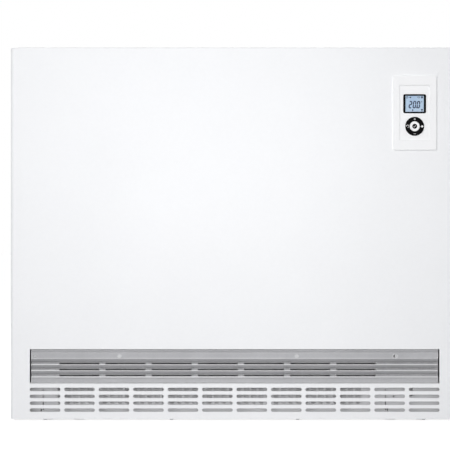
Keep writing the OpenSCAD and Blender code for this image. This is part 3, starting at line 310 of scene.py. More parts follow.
def zinc_coated(name, first, second):
    """Hot-dipped sheet: spangle, a dull patina, cut edges and dust."""
    material, tree, shader = new_finish(name)
    crystals = group(tree, SPANGLE, {"Crystals per metre": 150.0})
    tone = group(tree, TONE, {"First": (0.55, 0.55, 0.56), "Second": (0.6, 0.6, 0.61),
                              "Patches per metre": 14.0, "Mottle per metre": 420.0})
    bright = mixed(tree, crystals.outputs["Tone"], first, second)
    patina = spread(tree, tone.outputs["Mask"], 0.0, 1.0, 0.2, 0.45)
    sheet = mixed(tree, patina, bright, tone.outputs["Colour"])
    edge = group(tree, EDGE_WEAR_AND_SHADE, {"Reach": 0.0008, "Strength": 0.6})
    cut = mixed(tree, edge.outputs["Mask"], sheet, (0.8, 0.8, 0.8))
    settled = group(tree, DUST, {"Amount": 0.35})
    tree.links.new(mixed(tree, settled.outputs["Mask"], cut, (0.5, 0.48, 0.45)),
                   shader.inputs["Base Color"])
    tree.links.new(spread(tree, settled.outputs["Mask"], 0.0, 0.4, 0.18, 0.08),
                   shader.inputs["Metallic"])
    tree.links.new(spread(tree, crystals.outputs["Tone"], 0.0, 1.0, 0.36, 0.56),
                   shader.inputs["Roughness"])
    bumpy(tree, shader, crystals.outputs["Height"], 0.015)
    return material


def bare_metal(name, first, second, lines=(4.0, 900.0, 900.0), metallic=1.0, rough=(0.22, 0.4),
               depth=0.01):
    """Turned, drawn or rolled metal: fine lines along one way, tarnish and worn edges."""
    material, tree, shader = new_finish(name, Metallic=metallic)
    stretched = put(tree, "Mapping", {"Vector": place_text(tree), "Scale": lines})
    scratches = put(tree, "TexNoise", {"Vector": stretched.outputs["Vector"], "Scale": 1.0,
                                       "Detail": 4.0})
    drawn = spread(tree, scratches.outputs["Fac"], 0.3, 0.7, 0.0, 1.0)
    tone = group(tree, TONE, {"First": first, "Second": second, "Patches per metre": 60.0,
                              "Mottle per metre": 600.0})
    tarnish = mixed(tree, sums(tree, "MULTIPLY", drawn, 0.3), tone.outputs["Colour"],
                    tuple(c * 0.7 for c in first))
    edge = group(tree, EDGE_WEAR_AND_SHADE, {"Reach": 0.0005, "Strength": 0.5})
    tree.links.new(mixed(tree, edge.outputs["Mask"], tarnish,
                         tuple(min(1.0, c * 1.25) for c in second)), shader.inputs["Base Color"])
    tree.links.new(spread(tree, drawn, 0.0, 1.0, *rough), shader.inputs["Roughness"])
    bumpy(tree, shader, drawn, depth)
    return material


def silver_paint(name):
    """Metallic silver paint on an aluminium extrusion, with flake and faint die lines along X; its
    thin ridges carry a painted highlight and its hollows painted shade.
    """
    material, tree, shader = new_finish(name, Specular_IOR_Level=0.5)
    where = place_text(tree)
    flakes = put(tree, "TexVoronoi", {"Vector": where, "Scale": 2600.0})
    flake = put(tree, "SeparateColor", {"Color": flakes.outputs["Color"]}).outputs[0]
    tone = group(tree, TONE, {"First": (0.365, 0.365, 0.38), "Second": (0.41, 0.41, 0.425),
                              "Patches per metre": 20.0, "Mottle per metre": 300.0})
    glitter = mixed(tree, sums(tree, "MULTIPLY", flake, 0.22), tone.outputs["Colour"],
                    (0.54, 0.54, 0.555))
    # painted highlight: thin ridges such as the grille's noses turned paler
    nose_highlight = group(tree, RIDGE_HIGHLIGHT, {"Reach": 0.002, "Strength": 0.9})
    nose_highlighted = mixed(tree, nose_highlight.outputs["Mask"], glitter, (0.66, 0.66, 0.67))
    # painted shade: the grille's hollows darkened nearly to black
    hollow_shade = group(tree, HOLLOW_SHADE, {"Reach": 0.005, "Amount": 0.95})
    tree.links.new(mixed(tree, hollow_shade.outputs["Mask"], nose_highlighted, (0.06, 0.06, 0.063)),
                   shader.inputs["Base Color"])
    tree.links.new(spread(tree, flake, 0.0, 1.0, 0.05, 0.25), shader.inputs["Metallic"])
    stretched = put(tree, "Mapping", {"Vector": where, "Scale": (3.0, 1400.0, 1400.0)})
    dies = put(tree, "TexNoise", {"Vector": stretched.outputs["Vector"], "Scale": 1.0,
                                  "Detail": 3.0})
    tree.links.new(spread(tree, dies.outputs["Fac"], 0.3, 0.7, 0.38, 0.52),
                   shader.inputs["Roughness"])
    bumpy(tree, shader, sums(tree, "ADD", sums(tree, "MULTIPLY", dies.outputs["Fac"], 0.6),
                             sums(tree, "MULTIPLY", flake, 0.4)), 0.012)
    return material


def fired_brick(name):
    """Pressed magnesite: dark, gritty, with pale and rusty flecks."""
    material, tree, shader = new_finish(name, Specular_IOR_Level=0.25)
    where = place_text(tree)
    tone = group(tree, TONE, {"First": (0.085, 0.062, 0.05), "Second": (0.15, 0.11, 0.085),
                              "Patches per metre": 18.0, "Mottle per metre": 240.0})
    grit = put(tree, "TexVoronoi", {"Vector": where, "Scale": 420.0})
    parts = put(tree, "SeparateColor", {"Color": grit.outputs["Color"]})
    pale = spread(tree, parts.outputs[0], 0.86, 0.98, 0.0, 0.7)
    rusty = spread(tree, parts.outputs[1], 0.84, 0.97, 0.0, 0.7)
    flecked = mixed(tree, pale, tone.outputs["Colour"], (0.34, 0.3, 0.26))
    tree.links.new(mixed(tree, rusty, flecked, (0.26, 0.1, 0.045)), shader.inputs["Base Color"])
    tree.links.new(spread(tree, grit.outputs["Distance"], 0.0, 0.6, 0.95, 0.75),
                   shader.inputs["Roughness"])
    bumpy(tree, shader, sums(tree, "ADD", grit.outputs["Distance"], tone.outputs["Mask"]), 0.35)
    return material


def mineral_board(name):
    """Insulating board: pressed mineral with fibres and golden flecks of mica."""
    material, tree, shader = new_finish(name, Specular_IOR_Level=0.2)
    where = place_text(tree)
    tone = group(tree, TONE, {"First": (0.6, 0.55, 0.45), "Second": (0.74, 0.7, 0.6),
                              "Patches per metre": 25.0, "Mottle per metre": 380.0})
    flecks = put(tree, "TexVoronoi", {"Vector": where, "Scale": 260.0})
    parts = put(tree, "SeparateColor", {"Color": flecks.outputs["Color"]})
    mica = spread(tree, parts.outputs[2], 0.82, 0.9, 0.0, 0.8)
    tree.links.new(mixed(tree, mica, tone.outputs["Colour"], (0.42, 0.31, 0.16)),
                   shader.inputs["Base Color"])
    stretched = put(tree, "Mapping", {"Vector": where, "Scale": (1.0, 1.0, 0.12)})
    fibre = put(tree, "TexNoise", {"Vector": stretched.outputs["Vector"], "Scale": 900.0,
                                   "Detail": 4.0})
    tree.links.new(spread(tree, fibre.outputs["Fac"], 0.3, 0.7, 0.8, 0.98),
                   shader.inputs["Roughness"])
    bumpy(tree, shader, sums(tree, "ADD", fibre.outputs["Fac"],
                             sums(tree, "MULTIPLY", flecks.outputs["Distance"], 0.5)), 0.25)
    return material


def display_glass(name):
    """A lit liquid-crystal panel: blue, paler to the sides and at the foot, with a fine grain."""
    material, tree, shader = new_finish(name, Specular_IOR_Level=0.3, Emission_Strength=0.04)
    where = place_text(tree)
    apart = put(tree, "SeparateXYZ", {"Vector": where})
    across = spread(tree, apart.outputs["X"], 0.2975, 0.3305, 0.0, 1.0)
    up = spread(tree, apart.outputs["Z"], 0.538, 0.5665, 0.0, 1.0)
    side = sums(tree, "ABSOLUTE", sums(tree, "SUBTRACT", across, 0.42))
    cloud = put(tree, "TexNoise", {"Vector": where, "Scale": 120.0, "Detail": 2.0})
    glow = sums(tree, "ADD", sums(tree, "MULTIPLY", side, 1.3),
                sums(tree, "MULTIPLY", cloud.outputs["Fac"], 0.35))
    lit = mixed(tree, spread(tree, glow, 0.1, 0.9, 0.0, 1.0), (0.38, 0.515, 0.7),
                (0.46, 0.6, 0.75))
    shaded = mixed(tree, spread(tree, up, 0.93, 1.0, 0.0, 0.4), lit, (0.25, 0.36, 0.5))
    shaded = mixed(tree, spread(tree, up, 0.0, 0.3, 0.45, 0.0), shaded, (0.55, 0.65, 0.77))
    tree.links.new(shaded, shader.inputs["Base Color"])
    tree.links.new(shaded, shader.inputs["Emission Color"])
    grain = group(tree, GRAIN, {"Grains per metre": 3000.0})
    tree.links.new(spread(tree, grain.outputs["Height"], 0.0, 1.0, 0.28, 0.4),
                   shader.inputs["Roughness"])
    bumpy(tree, shader, grain.outputs["Height"], 0.004)
    return material


def etched_board(name):
    """Green circuit board: solder mask over copper tracks, with tinned pads."""
    material, tree, shader = new_finish(name, Specular_IOR_Level=0.5, Coat_Weight=0.4,
                                        Coat_Roughness=0.2)
    where = place_text(tree)
    tracks = put(tree, "TexBrick", {"Vector": put(tree, "Mapping", {
        "Vector": where, "Rotation": (math.radians(90), 0.0, math.radians(90))}).outputs["Vector"],
        "Scale": 90.0, "Mortar Size": 0.08, "Mortar Smooth": 0.2, "Brick Width": 0.9,
        "Row Height": 0.22})
    mask = tracks.outputs["Fac"]
    tone = group(tree, TONE, {"First": (0.008, 0.085, 0.035), "Second": (0.014, 0.13, 0.05),
                              "Patches per metre": 40.0, "Mottle per metre": 500.0})
    traced = mixed(tree, sums(tree, "MULTIPLY", mask, 0.6), tone.outputs["Colour"],
                   (0.05, 0.25, 0.09))
    pads = put(tree, "TexVoronoi", {"Vector": where, "Scale": 190.0, "Randomness": 0.35})
    tinned = spread(tree, pads.outputs["Distance"], 0.2, 0.24, 1.0, 0.0)
    tree.links.new(mixed(tree, tinned, traced, (0.6, 0.6, 0.58)), shader.inputs["Base Color"])
    tree.links.new(sums(tree, "MULTIPLY", tinned, 0.9), shader.inputs["Metallic"])
    tree.links.new(spread(tree, tinned, 0.0, 1.0, 0.4, 0.25), shader.inputs["Roughness"])
    bumpy(tree, shader, sums(tree, "ADD", mask, tinned), 0.05)
    return material


def laminated(name):
    """Motor stack: thin varnished laminations standing across X."""
    material, tree, shader = new_finish(name)
    leaves = put(tree, "TexWave", {"Vector": place_text(tree), "Scale": 320.0, "Distortion": 0.6,
                                   "Detail": 1.0}, bands_direction="X")
    tone = group(tree, TONE, {"First": (0.16, 0.14, 0.13), "Second": (0.24, 0.21, 0.19),
                              "Patches per metre": 40.0, "Mottle per metre": 500.0})
    tree.links.new(mixed(tree, spread(tree, leaves.outputs["Fac"], 0.2, 0.9, 0.0, 0.7),
                         tone.outputs["Colour"], (0.08, 0.06, 0.055)), shader.inputs["Base Color"])
    tree.links.new(spread(tree, tone.outputs["Mask"], 0.0, 1.0, 0.5, 0.8),
                   shader.inputs["Metallic"])
    tree.links.new(spread(tree, leaves.outputs["Fac"], 0.0, 1.0, 0.35, 0.6),
                   shader.inputs["Roughness"])
    bumpy(tree, shader, leaves.outputs["Fac"], 0.12)
    return material


FINISHES = {
    "white_enamel": painted("white enamel", (0.885, 0.89, 0.905), (0.905, 0.91, 0.925)),
    # white plastic: edge tone 0.78 darkens its edges as painted shade, the thin shadow lines round
    # the controller's frame and field
    "white_plastic": moulded("white plastic", (0.925, 0.928, 0.938), (0.94, 0.942, 0.95),
                             edge_wear_and_shade=0.9, edge_wear_and_shade_tone=0.78),
    "pale_plastic": moulded("pale plastic", (0.66, 0.65, 0.6), (0.72, 0.71, 0.66)),
    "black_plastic": moulded("black plastic", (0.016, 0.016, 0.018), (0.026, 0.026, 0.028)),
    "black_gloss_plastic": moulded("black gloss plastic", (0.002, 0.002, 0.0023),
                                   (0.003, 0.003, 0.0035), depth=0.004, rough=(0.2, 0.3),
                                   gloss=0.03),
    "blue_plastic": moulded("blue plastic", (0.025, 0.1, 0.38), (0.035, 0.12, 0.43)),
    "red_plastic": moulded("red plastic", (0.45, 0.018, 0.013), (0.55, 0.025, 0.018)),
    "black_rubber": moulded("black rubber", (0.016, 0.016, 0.016), (0.028, 0.027, 0.026),
                            grains=700.0, depth=0.05, rough=(0.7, 0.85), edge_wear_and_shade=0.5),
    "white_ceramic": moulded("white ceramic", (0.76, 0.74, 0.66), (0.83, 0.81, 0.74),
                             depth=0.03, rough=(0.25, 0.4), coat=0.3),
    "filter_net": moulded("filter net", (0.64, 0.64, 0.65), (0.72, 0.72, 0.73), depth=0.05,
                          rough=(0.6, 0.8)),
    "galvanised_steel": zinc_coated("galvanised steel", (0.62, 0.62, 0.635), (0.66, 0.66, 0.675)),
    "plated_steel": bare_metal("plated steel", (0.5, 0.505, 0.515), (0.57, 0.575, 0.58),
                               metallic=0.45, rough=(0.48, 0.6)),
    "bare_aluminium": bare_metal("bare aluminium", (0.68, 0.69, 0.7), (0.76, 0.77, 0.78)),
    "bronze": bare_metal("bronze", (0.5, 0.34, 0.17), (0.6, 0.42, 0.23), depth=0.02),
    "element_sheath": bare_metal("element sheath", (0.1, 0.1, 0.11), (0.17, 0.15, 0.14),
                                 metallic=0.8, rough=(0.45, 0.65)),
    "silver_aluminium": silver_paint("silver paint"),
    "motor_steel": laminated("motor stack"),
    "magnesite_brick": fired_brick("fired brick"),
    "insulation_board": mineral_board("mineral board"),
    "display_panel": display_glass("display glass"),
    "circuit_board": etched_board("circuit board"),
}

DISPLAY_INK = moulded("display ink", (0.03, 0.042, 0.09), (0.036, 0.05, 0.1), grains=3000.0,
                      depth=0.002, edge_wear_and_shade=0.0, gloss=0.3)
WINDING_COPPER = bare_metal("enamelled copper", (0.42, 0.17, 0.075), (0.52, 0.24, 0.11),
                            lines=(900.0, 4.0, 900.0), rough=(0.25, 0.4))

# ---------------------------------------------------------------- modelling kit


def alone(piece):
    """Makes the piece the only one selected."""
    if bpy.context.mode != "OBJECT":
        bpy.ops.object.mode_set(mode="OBJECT")
    bpy.ops.object.select_all(action="DESELECT")
    piece.select_set(True)
    bpy.context.view_layer.objects.active = piece


def settle(name):
    """Names the new primitive and puts its place into its mesh."""
    piece = bpy.context.object
    piece.name = piece.data.name = name
    bpy.ops.object.transform_apply(location=True, rotation=True, scale=True)
    return piece


def block(name, low, high):
    """A block between two corners in mm, as a start for shaping."""
    bpy.ops.object.select_all(action="DESELECT")
    low, high = Vector(low) * MM, Vector(high) * MM
    bpy.ops.mesh.primitive_cube_add(size=1, location=(low + high) / 2)
    bpy.context.object.scale = high - low
    return settle(name)


ALONG_Y, ALONG_X = (math.pi / 2, 0, 0), (0, math.pi / 2, 0)


def disc(name, centre, radius, depth, sides=32, turn=ALONG_Y):
    """A short cylinder in mm, lying along Y unless turned."""
    bpy.ops.object.select_all(action="DESELECT")
    bpy.ops.mesh.primitive_cylinder_add(vertices=sides, radius=radius * MM, depth=depth * MM,
                                        location=Vector(centre) * MM, rotation=turn)
    return settle(name)


def pick(piece, faces=None, edges=None, points=None):
    """In edit mode, selects only the faces, edges or points that the test holds for."""
    alone(piece)
    bpy.ops.object.mode_set(mode="EDIT")
    bpy.ops.mesh.select_mode(type="FACE" if faces else "EDGE" if edges else "VERT")
    bpy.ops.mesh.select_all(action="DESELECT")
    mesh = bmesh.from_edit_mesh(piece.data)
    if faces:
        for face in mesh.faces:
            face.select_set(faces(face.calc_center_median() / MM, face.normal))
    elif points:
        for point in mesh.verts:
            point.select_set(points(point.co / MM))
    else:
        for edge in mesh.edges:
            one, other = (v.co / MM for v in edge.verts)
            edge.select_set(edges((one + other) / 2, (other - one).normalized()))
    bmesh.update_edit_mesh(piece.data)


def done():
    bpy.ops.object.mode_set(mode="OBJECT")


def ease(piece, width, segments=2, angle=32):
    """Rounds the piece's sharp edges, and keeps its flat faces flat in the light."""
    alone(piece)
    round_off = piece.modifiers.new("round off", "BEVEL")
    round_off.width = width * MM
    round_off.segments = segments
    round_off.limit_method = "ANGLE"
    round_off.angle_limit = math.radians(angle)
    round_off.use_clamp_overlap = True
    bpy.ops.object.modifier_apply(modifier=round_off.name)
    bpy.ops.object.shade_smooth_by_angle(angle=math.radians(40))
    even = piece.modifiers.new("even light", "WEIGHTED_NORMAL")
    even.keep_sharp = True
    bpy.ops.object.modifier_apply(modifier=even.name)


def cut_out(piece, cutter):
    """Cuts the cutter's shape out of the piece, and removes the cutter."""
    alone(piece)
    cut = piece.modifiers.new("cut out", "BOOLEAN")
    cut.operation, cut.solver, cut.object = "DIFFERENCE", "EXACT", cutter
    bpy.ops.object.modifier_apply(modifier=cut.name)
    bpy.data.objects.remove(cutter)


def copied(piece, name, shift=(0, 0, 0), turn=None):
    """A copy with its own mesh, turned about the origin and then shifted, in mm."""
    twin = piece.copy()
    twin.data = piece.data.copy()
    twin.name = twin.data.name = name
    bpy.context.scene.collection.objects.link(twin)
    twin.data.transform(Matrix.Translation(Vector(shift) * MM) @ (turn or Matrix.Identity(4)))
    return twin


def joined(name, pieces):
    """Several pieces as one."""
    alone(pieces[0])
    for piece in pieces:
        piece.select_set(True)
    bpy.ops.object.join()
    pieces[0].name = pieces[0].data.name = name
    return pieces[0]


def repeated(piece, count, step):
    """Repeats the piece in a row, step in mm, as one piece."""
    alone(piece)
    row = piece.modifiers.new("row", "ARRAY")
    row.use_relative_offset = False
    row.use_constant_offset = True
    row.constant_offset_displace = Vector(step) * MM
    row.count = count
    bpy.ops.object.modifier_apply(modifier=row.name)
    return piece


def fit(piece, body, slot, *stands_for, finish=None):
    """Gives the piece its finish and its body, and hides what it stands for."""
    piece.data.materials.clear()
    piece.data.materials.append(finish or FINISHES[slot])
    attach(piece, body)
    if stands_for:
        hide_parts(*stands_for)
    return piece


MERGE_REACH = 0.004  # mm, within which a copied solid's doubled points are one
SLOT_OF = {row["node"]: row["material_slot"] for row in frame["record"]["subparts"]}
BODY_OF = {node: body for body, members in frame["record"]["behaviour"]["bodies"].items()
           for node in members}


def eased(node, width, segments):
    """A copy of a CAD node with its edges rounded, which stands for the node."""
    source = nodes[node]
    piece = source.copy()
    piece.data = source.data.copy()
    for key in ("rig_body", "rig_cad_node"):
        if key in piece:
            del piece[key]
    piece.parent = None
    piece.matrix_world = Matrix.Identity(4)
    piece.name = piece.data.name = node + "_eased"
    bpy.context.scene.collection.objects.link(piece)
    alone(piece)
    bpy.ops.object.mode_set(mode="EDIT")
    bpy.ops.mesh.select_all(action="SELECT")
    bpy.ops.mesh.remove_doubles(threshold=MERGE_REACH * MM)
    bpy.ops.mesh.customdata_custom_splitnormals_clear()
    bpy.ops.mesh.dissolve_limited(angle_limit=math.radians(0.5))
    done()
    ease(piece, width, segments)
    return fit(piece, BODY_OF[node], SLOT_OF[node], node)


for node, thing in nodes.items():
    thing.data.materials.clear()
    thing.data.materials.append(FINISHES[SLOT_OF[node]])

EDGE_ROUNDING = {  # mm, and the number of segments
    "front_panel": (0.3, 2), "top_cover": (0.3, 2), "left_side_panel": (0.3, 2),
    "right_side_panel": (0.3, 2), "rear_panel": (0.25, 2), "base_pan": (0.3, 2),
    "floor_rails": (0.4, 2), "wall_bracket": (0.5, 2), "outlet_grille": (0.2, 2),
    "grille_lock_left": (0.25, 2), "grille_lock_right": (0.25, 2), "room_sensor": (0.3, 2),
    "outlet_duct": (0.2, 1), "intake_plate": (0.2, 2), "filter_frame": (0.4, 2),
    "fan_housing": (0.2, 1), "fan_shaft": (0.5, 2), "fan_bearings": (0.4, 2),
    "motor_rotor": (0.3, 2), "motor_bracket": (0.3, 1), "fan_motor": (0.6, 2),
    "bypass_damper": (0.3, 1), "damper_bushes": (0.3, 2), "damper_bimetal": (0.4, 2),
    "core_support": (0.5, 1), "storage_bricks": (1.2, 2), "element_beads": (0.6, 2),
    "insulation_base": (0.8, 2), "insulation_front": (0.8, 2), "insulation_rear": (0.8, 2),
    "insulation_left": (0.8, 2), "insulation_right": (0.8, 2), "insulation_top": (0.8, 2),
    "inner_front_wall": (0.2, 1), "inner_left_wall": (0.2, 1), "divider_wall": (0.2, 1),
    "electrics_plate": (0.3, 1), "mains_terminal_block": (0.5, 2),
    "control_terminal_block": (0.5, 2), "charge_controller_board": (0.2, 1),
    "power_relays": (0.6, 2), "safety_limiter": (0.5, 2), "limiter_reset_button": (0.4, 2),
    "core_sensor": (0.3, 2), "cable_clamp": (0.8, 2), "cable_grommet": (0.8, 3),
    "controller_frame": (0.12, 1), "controller_fascia": (0.3, 2), "display_bezel": (0.3, 2),
    "display_lcd": (0.15, 1), "rocker_ring": (0.4, 3), "rocker_gimbal": (0.2, 1),
    "confirm_button": (0.4, 3), "controller_board": (0.2, 1), "controller_back_box": (0.5, 2),
}
for node, (width, segments) in EDGE_ROUNDING.items():
    eased(node, width, segments)

# ---------------------------------------------------------------- screws


SCREW_TIP = 1.5  # the length of a screw's tapered tip


def cross_screw(name, head_r, head_h, shank_r, shank_l):
    """A pan-head screw with a cross recess; its head's seat is at the origin, the head up."""
    piece = disc(name, (0, 0, head_h / 2), head_r, head_h, turn=(0, 0, 0))
    pick(piece, edges=lambda place, way: place.z > head_h - 0.01)
    bpy.ops.mesh.bevel(offset=head_h * 0.75 * MM, segments=4, affect="EDGES")
    done()
    pick(piece, faces=lambda place, normal: normal.z < -0.9)
    bpy.ops.mesh.inset(thickness=(head_r - shank_r) * MM)
    for length in (shank_l - SCREW_TIP, SCREW_TIP):
        bpy.ops.mesh.extrude_region_move(
            TRANSFORM_OT_translate={"value": (0, 0, -length * MM)})
    bpy.ops.transform.resize(value=(0.35, 0.35, 1))
    done()
    for turn in (0, math.pi / 2):
        wing = block("wing", (-head_r * 0.62, -0.5, head_h * 0.3), (head_r * 0.62, 0.5, head_h + 1))
        pick(wing, points=lambda place: place.z < head_h)
        bpy.ops.transform.resize(value=(0.3, 0.5, 1))
        done()
        wing.data.transform(Matrix.Rotation(turn, 4, "Z"))
        cut_out(piece, wing)
    ease(piece, 0.12, 1, angle=40)
    return piece


REAR = FACE + 238  # the rear panel's outer face
DOWN, BACK = (Matrix.Rotation(turn, 4, "X") for turn in (math.pi, -math.pi / 2))
screw = cross_screw("casing_screw", 3.8, 2.0, 1.9, 7.0)
screws = [copied(screw, "foot_screw", (x, FACE + 9, 3), DOWN) for x in (-330, -110, 110, 330)]
screws += [copied(screw, "rear_screw", (x, REAR, z), BACK)
           for x in (-382, 382) for z in (60, 325, 588)]
screws += [copied(screw, "cover_screw", (x, REAR + 1, 642), BACK) for x in (-260, 0, 260)]
bpy.data.objects.remove(screw)
fit(joined("cross_head_screws", screws), BODY_OF["casing_screws"], "plated_steel", "casing_screws")

# ---------------------------------------------------------------- filter net

net_low, net_high = (corner / MM for corner in map(Vector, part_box("filter_mesh")))
WIRE, WIRE_PITCH = 0.5, 0.75


def net_wire(name, low, high):
    """One strand of the net with softened ends."""
    piece = block(name, low, high)
    long_way = max(range(3), key=lambda axis: high[axis] - low[axis])
    pick(piece, faces=lambda place, normal: abs(normal[long_way]) > 0.9)
    bpy.ops.mesh.inset(thickness=0.06 * MM)
    done()
    return piece


middle_y = (net_low.y + net_high.y) / 2
upright = net_wire("net_uprights", (net_low.x, middle_y - 0.28, net_low.z),
                   (net_low.x + WIRE, middle_y + 0.02, net_high.z))
repeated(upright, int((net_high.x - net_low.x - WIRE) / WIRE_PITCH) + 1, (WIRE_PITCH, 0, 0))
level = net_wire("net_levels", (net_low.x, middle_y - 0.02, net_low.z),
                 (net_high.x, middle_y + 0.28, net_low.z + WIRE))
repeated(level, int((net_high.z - net_low.z - WIRE) / WIRE_PITCH) + 1, (0, 0, WIRE_PITCH))
fit(joined("filter_net_strands", [upright, level]), BODY_OF["filter_mesh"], "filter_net",
    "filter_mesh")

# ---------------------------------------------------------------- display and keys

GLASS = FACE - 0.5      # the front of the display's glass
INK = 0.06              # how far the display's marks stand proud
RING_X, RING_Z = 313.4, 512.6
RING_FACE = FACE - 2.2  # the front of the ring and of the confirm button


def mark(name, centre, radius, face, sides=24, wide=1.0, turn=0.0, proud=INK):
    """A flat mark with a chamfered face, its middle at (x, z) on a face at y."""
    piece = disc(name, (0, 0, 0), radius, 2 * proud, sides)
    pick(piece, edges=lambda place, way: place.y < -proud * 0.9)
    bpy.ops.mesh.bevel(offset=proud * 0.5 * MM, segments=1, affect="EDGES")
    done()
    piece.data.transform(Matrix.Translation(Vector((centre[0], face, centre[1])) * MM)
                         @ Matrix.Diagonal((wide, 1, 1, 1)) @ Matrix.Rotation(turn, 4, "Y"))
    return piece


def bar(name, start, end, stroke, face, proud=INK):
    """A straight stroke with pointed ends from start to end, both (x, z), on a face at y."""
    start, end = Vector(start), Vector(end)
    piece = disc(name, (0, 0, 0), stroke / math.sqrt(3), 2 * proud, sides=6)
    reach = (end - start).length / 2 - stroke / math.sqrt(3)
    for side in (-1, 1):
        pick(piece, points=lambda place: place.z * side > 0.01)
        bpy.ops.transform.translate(value=(0, 0, side * reach * MM))
        done()
    pick(piece, edges=lambda place, way: place.y < -proud * 0.9)
    bpy.ops.mesh.bevel(offset=proud * 0.5 * MM, segments=1, affect="EDGES")
    done()
    middle, way = (start + end) / 2, end - start
    piece.data.transform(Matrix.Translation(Vector((middle.x, face, middle.y)) * MM)
                         @ Matrix.Rotation(math.atan2(way.x, way.y), 4, "Y"))
    return piece


def hoop(name, centre, radius, stroke, face, sides=28, wide=1.0, proud=INK):
    """A flat ring about (x, z) on a face at y."""
    piece = mark(name, centre, radius, face, sides, wide, proud=proud)
    cut_out(piece, mark("middle", centre, radius - stroke, face, sides, wide, proud=proud * 3))
    return piece


def digit(name, centre, lit, wide=3.8, half=5.5, stroke=2.0, lean=0.09):
    """A seven-bar digit about (x, z); lit names its bars, t for top, then round to the middle."""
    left, right = centre[0] - wide / 2, centre[0] + wide / 2
    low, mid, high = centre[1] - half, centre[1], centre[1] + half
    corners = {"t": ((left, high), (right, high)), "m": ((left, mid), (right, mid)),
               "b": ((left, low), (right, low)), "u": ((left, mid), (left, high)),
               "r": ((right, mid), (right, high)), "l": ((left, low), (left, mid)),
               "e": ((right, low), (right, mid))}
    bars = []
    for key in lit:
        ends = [(x + (z - centre[1]) * lean, z) for x, z in corners[key]]
        bars.append(bar(name + "_" + key, ends[0], ends[1], stroke, GLASS))
    return joined(name, bars)


DIGIT_Z = 550.3
shown = [digit("digit_two", (306.1, DIGIT_Z), "trmlb"),
         digit("digit_zero", (313.1, DIGIT_Z), "turbel"),
         digit("digit_last", (320.0, DIGIT_Z), "turbel"),
         mark("point", (316.5, 544.7), 1.0, GLASS, 4, turn=math.pi / 4),
         hoop("degree", (325.2, 555.4), 1.0, 0.5, GLASS, 16)]
fit(joined("display_digits", shown), BODY_OF["display_lcd"], "black_plastic", finish=DISPLAY_INK)
signs = [hoop("clock", (300.1, 563.0), 2.0, 0.7, GLASS),
         bar("clock_hand", (300.1, 562.8), (300.1, 564.3), 0.45, GLASS),
         mark("sun", (306.2, 563.0), 1.4, GLASS, 6),
         bar("sun_ray", (303.3, 563.0), (305.2, 563.0), 0.5, GLASS),
         hoop("window", (320.6, 563.0), 1.5, 0.6, GLASS, wide=1.5),
         mark("flake", (326.2, 563.0), 1.9, GLASS, 8),
         mark("charge", (310.0, 540.9), 1.7, GLASS, 4, wide=0.85),
         bar("charge_foot", (310.0, 538.6), (310.0, 540.0), 0.7, GLASS),
         mark("fan_sign", (326.1, 541.4), 1.8, GLASS, 5),
         bar("fan_foot", (324.8, 538.9), (327.4, 538.9), 0.7, GLASS)]
fit(joined("display_signs", signs), BODY_OF["display_lcd"], "black_plastic", finish=DISPLAY_INK)

KEY_PAINT = 0.05
left_x, right_x = RING_X - 12.3, RING_X + 12.9
turned_back = hoop("back_arrow", (left_x, RING_Z), 2.5, 0.6, RING_FACE, proud=KEY_PAINT)
cut_out(turned_back, block("gap", (left_x - 4, RING_FACE - 1, RING_Z - 3.2),
                           (left_x - 0.2, RING_FACE + 1, RING_Z + 1.2)))
symbols = [
    bar("plus_across", (RING_X - 1.9, 525.0), (RING_X + 1.9, 525.0), 0.6, RING_FACE, KEY_PAINT),
    bar("plus_up", (RING_X, 523.1), (RING_X, 526.9), 0.6, RING_FACE, KEY_PAINT),
    bar("minus", (RING_X - 2.0, 499.6), (RING_X + 2.0, 499.6), 0.5, RING_FACE, KEY_PAINT),
    turned_back,
    mark("arrow_head", (left_x - 2.2, RING_Z + 0.6), 1.5, RING_FACE, 3, turn=math.pi,
         proud=KEY_PAINT),
    mark("menu_drop", (right_x, RING_Z - 0.2), 2.3, RING_FACE, 4, wide=1.05, proud=KEY_PAINT),
    bar("menu_tail", (right_x - 3.4, RING_Z - 0.2), (right_x - 1.6, RING_Z - 0.2), 0.8, RING_FACE,
        KEY_PAINT)]
fit(joined("key_symbols", symbols), BODY_OF["rocker_ring"], "white_plastic")

fit(mark("confirm_inlay", (RING_X, RING_Z), 4.2, RING_FACE, 48, proud=KEY_PAINT),
    BODY_OF["confirm_button"], "black_gloss_plastic")
tick = [bar("tick_short", (RING_X - 2.0, RING_Z - 0.3), (RING_X - 0.6, RING_Z - 1.7), 0.6,
            RING_FACE - KEY_PAINT, 0.03),
        bar("tick_long", (RING_X - 0.9, RING_Z - 1.8), (RING_X + 2.0, RING_Z + 1.7), 0.6,
            RING_FACE - KEY_PAINT, 0.03)]
fit(joined("confirm_tick", tick), BODY_OF["confirm_button"], "white_plastic")

# ---------------------------------------------------------------- electrical compartment


def slotted_head(name, x, y, z, radius):
    """A brass clamping screw in its well, its head towards +X."""
    piece = disc(name, (x + 0.9, y, z), radius, 1.8, 24, turn=ALONG_X)
    pick(piece, edges=lambda place, way: place.x > x + 1.79)
    bpy.ops.mesh.bevel(offset=0.5 * MM, segments=2, affect="EDGES")
    done()
    cut_out(piece, block("slot", (x + 1.0, y - radius - 1, z - 0.45),
                         (x + 3, y + radius + 1, z + 0.45)))
    ease(piece, 0.1, 1, angle=40)
    return piece


BLOCKS_FRONT = FACE + 85  # the front end of both terminal blocks


def clamp_screws(name, node, ways, way, height, radius):
    """A row of clamping screws, one to each way of a terminal block."""
    low, high = (Vector(corner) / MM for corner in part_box(node))
    first = slotted_head(name, low.x + height / 2, BLOCKS_FRONT + way / 2, (low.z + high.z) / 2,
                         radius)
    repeated(first, ways, (0, way, 0))
    fit(first, BODY_OF[node], "bronze")


clamp_screws("mains_clamp_screws", "mains_terminal_block", 6, 17, 24, 3.8)
clamp_screws("control_clamp_screws", "control_terminal_block", 8, 11, 16, 2.4)

